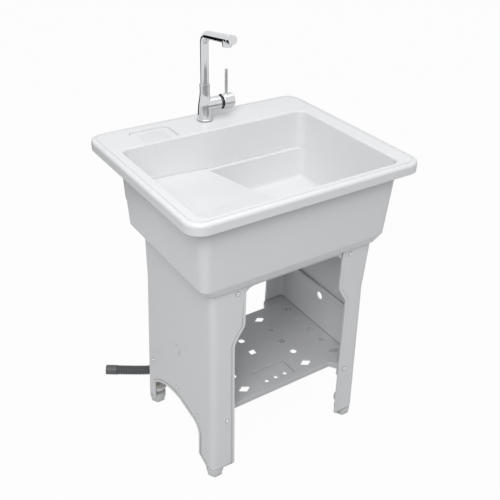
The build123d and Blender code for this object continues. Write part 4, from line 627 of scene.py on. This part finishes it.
# ------------------------------------------------------------------ stand panels
@dataclass(frozen=True)
class StandPanel:
    """A side panel whose cut edges carry the raised hem of the photograph.

    Attributes:
        node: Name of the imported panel.
        axis: X and Y of the stand's middle, which the outer skin faces away from.
        step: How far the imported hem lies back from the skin.
        rise: How far the hem is raised, which leaves it rise less step proud.
        match: How far off one step a point of the skin's edge may lie.
        top: Height over which no point is raised.
        upright: Largest upward share of the normal of a face of the skin.
        facing: Least outward share of the normal of a face of the skin.
        smooth_under: Angle under which two faces are shaded as one.
        weld: Distance under which packed points are merged.
    """

    node: str
    axis: tuple[float, float] = (-0.0045, -0.0285)
    step: float = 0.0013
    rise: float = 0.0033
    match: float = 0.0003
    top: float = 0.548
    upright: float = 0.3
    facing: float = 0.35
    smooth_under: float = math.radians(28)
    weld: float = 1e-5

    def build(self, finishes: FinishShelf) -> bpy.types.Object:
        """Copy the panel, raise its hem and dress it.

        Args:
            finishes: Where its material comes from.

        Returns:
            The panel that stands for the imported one.
        """
        shape = bmesh.new()
        shape.from_mesh(frame["nodes"][self.node].data)
        bmesh.ops.remove_doubles(shape, verts=shape.verts, dist=self.weld)
        shape.normal_update()
        moves = self.hem_moves(shape)
        for vert, move in moves.items():
            vert.co += move
        shape.normal_update()
        for face in shape.faces:
            face.smooth = True
        for edge in shape.edges:
            edge.smooth = edge.calc_face_angle(math.pi) < self.smooth_under
        panel = mesh_object(f"{self.node}_hemmed", shape)
        finishes.dress(panel, Slot.STAND)
        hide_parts(self.node)
        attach(panel, Body.STAND.value)
        log.info("built %s, %d points of its hem raised", panel.name, len(moves))
        return panel

    def hem_moves(self, shape: bmesh.types.BMesh) -> dict[bmesh.types.BMVert, Vector]:
        """Find the hem's points, and how far each is raised.

        A point is at the hem's foot where the skin's edge lies one step further
        out along its normal. The hem is all the skin's faces at such points.

        Args:
            shape: The panel, with its doubles merged.

        Returns:
            The move of each point of the hem.
        """
        skin = [face for face in shape.faces if self.outward(face)]
        normals: dict[bmesh.types.BMVert, Vector] = {}
        for face in skin:
            for vert in face.verts:
                normals[vert] = normals.get(vert, Vector()) + face.normal * face.calc_area()
        tree = KDTree(len(normals))
        for number, vert in enumerate(normals):
            tree.insert(vert.co, number)
        tree.balance()
        foot = {
            vert
            for vert, normal in normals.items()
            if tree.find(vert.co + normal.normalized() * self.step)[2] < self.match
        }
        hem = {vert for face in skin if foot & set(face.verts) for vert in face.verts}
        return {
            vert: normals[vert].normalized() * self.rise
            for vert in hem
            if vert.co.z < self.top
        }

    def outward(self, face: bmesh.types.BMFace) -> bool:
        """Whether a face is part of the panel's outer skin.

        Args:
            face: The face.

        Returns:
            True on the outer skin, hem and all.
        """
        reach = face.calc_center_median() - Vector((*self.axis, 0))
        reach.z = 0
        level = abs(face.normal.z) < self.upright
        return level and face.normal.dot(reach.normalized()) > self.facing


# ------------------------------------------------------------------ drain hose
class Course:
    """The hose's centreline, and the frames that its rings lie in.

    A frame's first axis is square to UP, or to SLANT where the line is so steep
    that its level share is under STEEP. SLACK is the rounding of a length.
    """

    SLACK = 1e-9
    STEEP = 0.2
    UP: Point = (0.0, 0.0, 1.0)
    SLANT: Point = (1.0, 1.0, 0.0)

    def __init__(self, line: Sequence[Vector]) -> None:
        """Measure the line.

        Args:
            line: Its points, from the outlet to the cuff.
        """
        self.line = line
        self.marks = [0.0]
        for start, end in zip(line, line[1:]):
            self.marks.append(self.marks[-1] + (end - start).length)

    def frame_at(self, share: float) -> Matrix:
        """A frame on the centreline with its Z axis along the hose.

        Args:
            share: Share of the line's length.

        Returns:
            The frame.
        """
        line, marks = self.line, self.marks
        last = len(line) - 1
        goal = share * marks[-1]
        index = next(
            (place for place in range(1, last + 1) if marks[place] >= goal - self.SLACK), last
        )
        part = (goal - marks[index - 1]) / (marks[index] - marks[index - 1])
        start, end = line[index - 1], line[index]
        before, after = line[max(index - 2, 0)], line[min(index + 1, last)]
        run = (end - start).normalized()
        start_run = (end - before).normalized().lerp(run, 0.5)
        end_run = (after - start).normalized().lerp(run, 0.5)
        along = start_run.lerp(end_run, part).normalized()
        side = along.cross(Vector(self.UP))
        if side.length < self.STEEP:
            side = along.cross(Vector(self.SLANT))
        side.normalize()
        turn = Matrix((side, side.cross(along), along)).transposed().to_4x4()
        return Matrix.Translation(start.lerp(end, part)) @ turn


@dataclass(frozen=True)
class DrainHose:
    """The corrugated hose from under the bowl to its cuff on the floor.

    Attributes:
        route: Control points of its centreline, from the outlet to the cuff.
        length: Its length along the centreline; not used.
        crest: Radius over the ribs.
        root: Radius between the ribs.
        bore: Radius inside.
        ribs: Number of ribs.
        sides: Number of points round it.
        rib_steps: Share of the pitch and of the rise at each ring of a rib.
        bore_steps: Number of steps along the bore.
        line_order: Order of the centreline's spline.
        line_detail: Number of points drawn for each control point.
    """

    route: tuple[Point, ...] = (
        (0.104, -0.012, 0.538),
        (0.0596, 0.0472, 0.538),
        (0.0185, 0.102, 0.5045),
        (-0.011, 0.139, 0.440),
        (-0.0287, 0.1467, 0.3255),
        (-0.0447, 0.1547, 0.2135),
        (-0.0656, 0.1636, 0.111),
        (-0.1094, 0.187, 0.0484),
        (-0.172, 0.223, 0.014),
        (-0.230, 0.258, 0.014),
        (-0.268, 0.283, 0.014),
    )
    length: float = 0.830
    crest: float = 0.0140
    root: float = 0.0120
    bore: float = 0.0100
    ribs: int = 166
    sides: int = 28
    rib_steps: tuple[tuple[float, float], ...] = (
        (0.0, 0.0),
        (0.22, 0.2),
        (0.38, 1.0),
        (0.68, 1.0),
        (0.84, 0.2),
    )
    bore_steps: int = 120
    line_order: int = 3
    line_detail: int = 24

    def build(self, finishes: FinishShelf) -> bpy.types.Object:
        """Lay the ribs along the route's smooth line.

        Args:
            finishes: Where the hose's material comes from.

        Returns:
            The hose.
        """
        line = self.centreline()
        hose = mesh_object("corrugated_hose", self.tube(Course(line)))
        finishes.dress(hose, Slot.HOSE)
        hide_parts("drain_hose")
        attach(hose, Body.STAND.value)
        log.info("built %s, %d faces", hose.name, len(hose.data.polygons))
        return hose

    def centreline(self) -> list[Vector]:
        """Points along one smooth spline whose control points are the route's.

        Returns:
            The points, from the outlet to the cuff.
        """
        curve = bpy.data.curves.new("hose_route", "CURVE")
        curve.dimensions = "3D"
        spline = curve.splines.new("NURBS")
        spline.points.add(len(self.route) - 1)
        for point, place in zip(spline.points, self.route):
            point.co = (*place, 1.0)
        spline.order_u = self.line_order
        spline.use_endpoint_u = True
        spline.resolution_u = self.line_detail
        holder = scene_object("hose_route", curve)
        bpy.context.view_layer.update()
        mesh = bpy.data.meshes.new_from_object(holder)
        points = [vertex.co.copy() for vertex in mesh.vertices]
        bpy.data.objects.remove(holder)
        bpy.data.meshes.remove(mesh)
        return points

    def tube(self, course: Course) -> bmesh.types.BMesh:
        """Draw the ribs outside and the smooth bore inside, closed at both ends.

        Args:
            course: The hose's centreline.

        Returns:
            The hose's shape.
        """
        shape = bmesh.new()
        loop: list[bmesh.types.BMEdge] = []
        first: list[bmesh.types.BMEdge] = []
        last_frame = Matrix.Identity(4)
        for share, radius in [*self.outer_stations(), *self.bore_stations()]:
            scale = Matrix.Diagonal((radius, radius, radius, 1.0))
            next_frame = course.frame_at(share) @ scale
            loop = self.ring(shape, loop, next_frame @ last_frame.inverted())
            last_frame = next_frame
            first = first or loop
        bmesh.ops.bridge_loops(shape, edges=[*loop, *first])
        bmesh.ops.recalc_face_normals(shape, faces=shape.faces)
        for face in shape.faces:
            face.smooth = True
        return shape

    def outer_stations(self) -> list[tuple[float, float]]:
        """Where each ring of the ribs lies, and how wide it is.

        Returns:
            Pairs of the share of the hose's length and the radius there.
        """
        stations = []
        for rib in range(self.ribs):
            for step, rise in self.rib_steps:
                radius = self.root + (self.crest - self.root) * rise
                stations.append(((rib + step) / self.ribs, radius))
        return [*stations, (1.0, self.root)]

    def bore_stations(self) -> list[tuple[float, float]]:
        """Where each ring of the bore lies, from the cuff back to the outlet.

        Returns:
            Pairs of the share of the hose's length and the radius there.
        """
        steps = self.bore_steps
        return [(1.0 - step / steps, self.bore) for step in range(steps + 1)]

    def ring(
        self, shape: bmesh.types.BMesh, loop: list[bmesh.types.BMEdge], move: Matrix
    ) -> list[bmesh.types.BMEdge]:
        """Draw the next ring, joined to the ring before it.

        Args:
            shape: The hose so far.
            loop: Edges of the ring before, or none for the first.
            move: What takes the ring before to the new one.

        Returns:
            Edges of the new ring.
        """
        if loop:
            made = bmesh.ops.extrude_edge_only(shape, edges=loop)["geom"]
            verts = [item for item in made if isinstance(item, bmesh.types.BMVert)]
            edges = [item for item in made if isinstance(item, bmesh.types.BMEdge)]
            fresh = set(verts)
            edges = [edge for edge in edges if fresh.issuperset(edge.verts)]
        else:
            verts = bmesh.ops.create_circle(shape, segments=self.sides, radius=1.0)["verts"]
            edges = list(shape.edges)
        bmesh.ops.transform(shape, matrix=move, verts=verts)
        return edges


# ------------------------------------------------------------------ studio and camera
def plain_material(name: str, colour: Colour) -> bpy.types.Material:
    """A material of one colour.

    Args:
        name: Name of the material.
        colour: Its linear colour.

    Returns:
        The material.
    """
    made = bpy.data.materials.new(name)
    made.use_nodes = True
    made.node_tree.nodes["Principled BSDF"].inputs["Base Color"].default_value = (*colour, 1.0)
    return made


def seen_directly(tree: bpy.types.NodeTree) -> bpy.types.NodeSocket:
    """One for rays from the camera, off gloss or through glass, and zero for light.

    Args:
        tree: The material's or world's node tree.

    Returns:
        The socket with the mask.
    """
    path = tree.nodes.new("ShaderNodeLightPath")
    total = path.outputs["Is Camera Ray"]
    for name in ("Is Glossy Ray", "Is Transmission Ray"):
        joined = tree.nodes.new("ShaderNodeMath")
        joined.operation = "MAXIMUM"
        tree.links.new(total, joined.inputs[0])
        tree.links.new(path.outputs[name], joined.inputs[1])
        total = joined.outputs[0]
    return total


@dataclass(frozen=True)
class Lamp:
    """A square softbox.

    Attributes:
        name: Name of the lamp.
        place: Where it hangs.
        target: The point that it faces.
        size: Length of its sides.
        power: Its power in watts.
    """

    name: str
    place: Point
    target: Point
    size: float
    power: float

    def hang(self) -> None:
        """Hang the lamp."""
        light = bpy.data.lights.new(self.name, "AREA")
        light.shape = "SQUARE"
        light.size = self.size
        light.energy = self.power
        lamp = scene_object(self.name, light)
        turn = aimed(self.place, self.target, "-Z").to_4x4()
        lamp.matrix_world = Matrix.Translation(self.place) @ turn


@dataclass(frozen=True)
class Card:
    """A dark felt card well away from the sink that only gloss shows.

    Attributes:
        name: Name of the card.
        place: Its middle.
        width: Its width.
        height: Its height.
        target: The point that it faces.
        felt: Its linear colour.
    """

    name: str
    place: Point
    width: float
    height: float
    target: Point = (-0.005, 0.205, 0.42)
    felt: Colour = (0.01, 0.01, 0.01)

    def hang(self) -> None:
        """Hang the card."""
        turn = aimed(self.place, self.target, "Z")
        shape = bmesh.new()
        bmesh.ops.create_grid(shape, x_segments=1, y_segments=1, size=0.5)
        bmesh.ops.scale(shape, vec=(self.width, self.height, 1.0), verts=shape.verts)
        bmesh.ops.rotate(shape, matrix=turn, verts=shape.verts)
        bmesh.ops.translate(shape, vec=self.place, verts=shape.verts)
        card = stage_object(self.name, shape)
        felt = plain_material(self.name, self.felt)
        felt.node_tree.nodes["Principled BSDF"].inputs["Specular IOR Level"].default_value = 0.0
        card.data.materials.append(felt)
        card.visible_camera = False
        card.visible_diffuse = False
        card.visible_shadow = False
        card.visible_transmission = False


@dataclass(frozen=True)
class Studio:
    """White floor, soft lamps, a pale world and dark cards for the chrome.

    Attributes:
        world_colour: Colour of the world's light.
        world_strength: Its strength.
        floor_size: Length of the floor's sides.
        floor_cells: Number of the floor's cells each way.
        floor_colour: The floor's linear colour.
        floor_roughness: Its roughness.
        floor_share: Share of white in the floor where it is seen directly.
        lamps: The softboxes.
        cards: The dark cards.
    """

    world_colour: Colour = (0.95, 0.98, 1.0)
    world_strength: float = 0.39
    floor_size: float = 12.0
    floor_cells: int = 8
    floor_colour: Colour = (0.52, 0.52, 0.52)
    floor_roughness: float = 0.9
    floor_share: float = 0.97
    lamps: tuple[Lamp, ...] = (
        Lamp("overhead softbox", (0.2, -0.1, 2.9), (0.0, 0.0, 0.6), 2.0, 17.0),
        Lamp("front softbox", (-1.3, -1.5, 2.6), (0.0, 0.0, 0.5), 1.4, 43.0),
    )
    cards: tuple[Card, ...] = (
        Card("dark card behind", (-0.15, 1.15, 0.42), 1.10, 0.80),
        Card("dark card right", (0.95, 0.72, 0.42), 0.45, 0.80),
    )

    def build(self) -> None:
        """Set the world, the floor, the lamps and the cards."""
        bpy.context.scene.view_settings.view_transform = "Standard"
        self.world()
        self.floor()
        for lamp in self.lamps:
            lamp.hang()
        for card in self.cards:
            card.hang()
        log.info("built the studio, %d lamps and %d cards", len(self.lamps), len(self.cards))

    def world(self) -> None:
        """Set a world that lights softly and is white where it is seen."""
        world = bpy.data.worlds.new("white studio")
        bpy.context.scene.world = world
        world.use_nodes = True
        nodes, links = world.node_tree.nodes, world.node_tree.links
        light = nodes["Background"]
        light.inputs["Color"].default_value = (*self.world_colour, 1.0)
        light.inputs["Strength"].default_value = self.world_strength
        white = nodes.new("ShaderNodeBackground")
        white.inputs["Color"].default_value = (1.0, 1.0, 1.0, 1.0)
        mix = nodes.new("ShaderNodeMixShader")
        links.new(seen_directly(world.node_tree), mix.inputs["Fac"])
        links.new(light.outputs[0], mix.inputs[1])
        links.new(white.outputs[0], mix.inputs[2])
        links.new(mix.outputs[0], nodes["World Output"].inputs["Surface"])

    def floor(self) -> None:
        """Lay the pale floor that keeps the sink's shadow."""
        shape = bmesh.new()
        cells = self.floor_cells
        bmesh.ops.create_grid(
            shape, x_segments=cells, y_segments=cells, size=self.floor_size / 2
        )
        floor = stage_object("studio_floor", shape)
        paper = plain_material("studio paper", self.floor_colour)
        nodes, links = paper.node_tree.nodes, paper.node_tree.links
        matt = nodes["Principled BSDF"]
        matt.inputs["Roughness"].default_value = self.floor_roughness
        glow = nodes.new("ShaderNodeEmission")
        glow.inputs["Color"].default_value = (1.0, 1.0, 1.0, 1.0)
        glow.inputs["Strength"].default_value = 1.0
        mix = nodes.new("ShaderNodeMixShader")
        share = nodes.new("ShaderNodeMath")
        share.operation = "MULTIPLY"
        share.inputs[1].default_value = self.floor_share
        links.new(seen_directly(paper.node_tree), share.inputs[0])
        links.new(share.outputs[0], mix.inputs["Fac"])
        links.new(matt.outputs[0], mix.inputs[1])
        links.new(glow.outputs[0], mix.inputs[2])
        links.new(mix.outputs[0], nodes["Material Output"].inputs["Surface"])
        floor.data.materials.append(paper)


@dataclass(frozen=True)
class Photograph:
    """The camera, as fitted to the photograph.

    Attributes:
        azimuth: Turn of the view about the vertical, from the front to the right.
        elevation: Angle of the camera above the target.
        roll: Turn of the picture.
        distance: From the camera to the target.
        target: The point in the middle of the view.
        focal_pixels: Focal length in pixels of the picture.
        frame_pixels: Width of the picture in pixels.
        sensor: Width of the camera's sensor in millimetres.
    """

    azimuth: float = math.radians(-34.0)
    elevation: float = math.radians(31.76)
    roll: float = math.radians(1.58)
    distance: float = 1.7927
    target: Point = (0.00177, -0.00234, 0.497)
    focal_pixels: float = 715.6
    frame_pixels: float = 500.0
    sensor: float = 36.0

    def build(self) -> None:
        """Create the camera and make it the scene's own."""
        data = bpy.data.cameras.new("photograph")
        data.sensor_width = self.sensor
        data.lens = self.sensor * self.focal_pixels / self.frame_pixels
        camera = scene_object("photograph", data)
        back = Vector((
            math.sin(self.azimuth) * math.cos(self.elevation),
            -math.cos(self.azimuth) * math.cos(self.elevation),
            math.sin(self.elevation),
        ))
        turn = back.to_track_quat("Z", "Y").to_matrix().to_4x4()
        place = Matrix.Translation(Vector(self.target) + back * self.distance)
        camera.matrix_world = place @ turn @ Matrix.Rotation(self.roll, 4, "Z")
        bpy.context.scene.camera = camera


def main() -> None:
    """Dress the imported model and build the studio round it."""
    Photograph().build()
    finishes = FinishShelf()
    DrainHose().build(finishes)
    for side in ("left", "right"):
        StandPanel(f"side_panel_{side}").build(finishes)
    dressed = sum(part.dress(finishes) for part in SUB_ASSEMBLIES)
    log.info("%d of %d pieces dressed", dressed, len(frame["nodes"]))
    Studio().build()


if __name__ == "__main__":
    main()
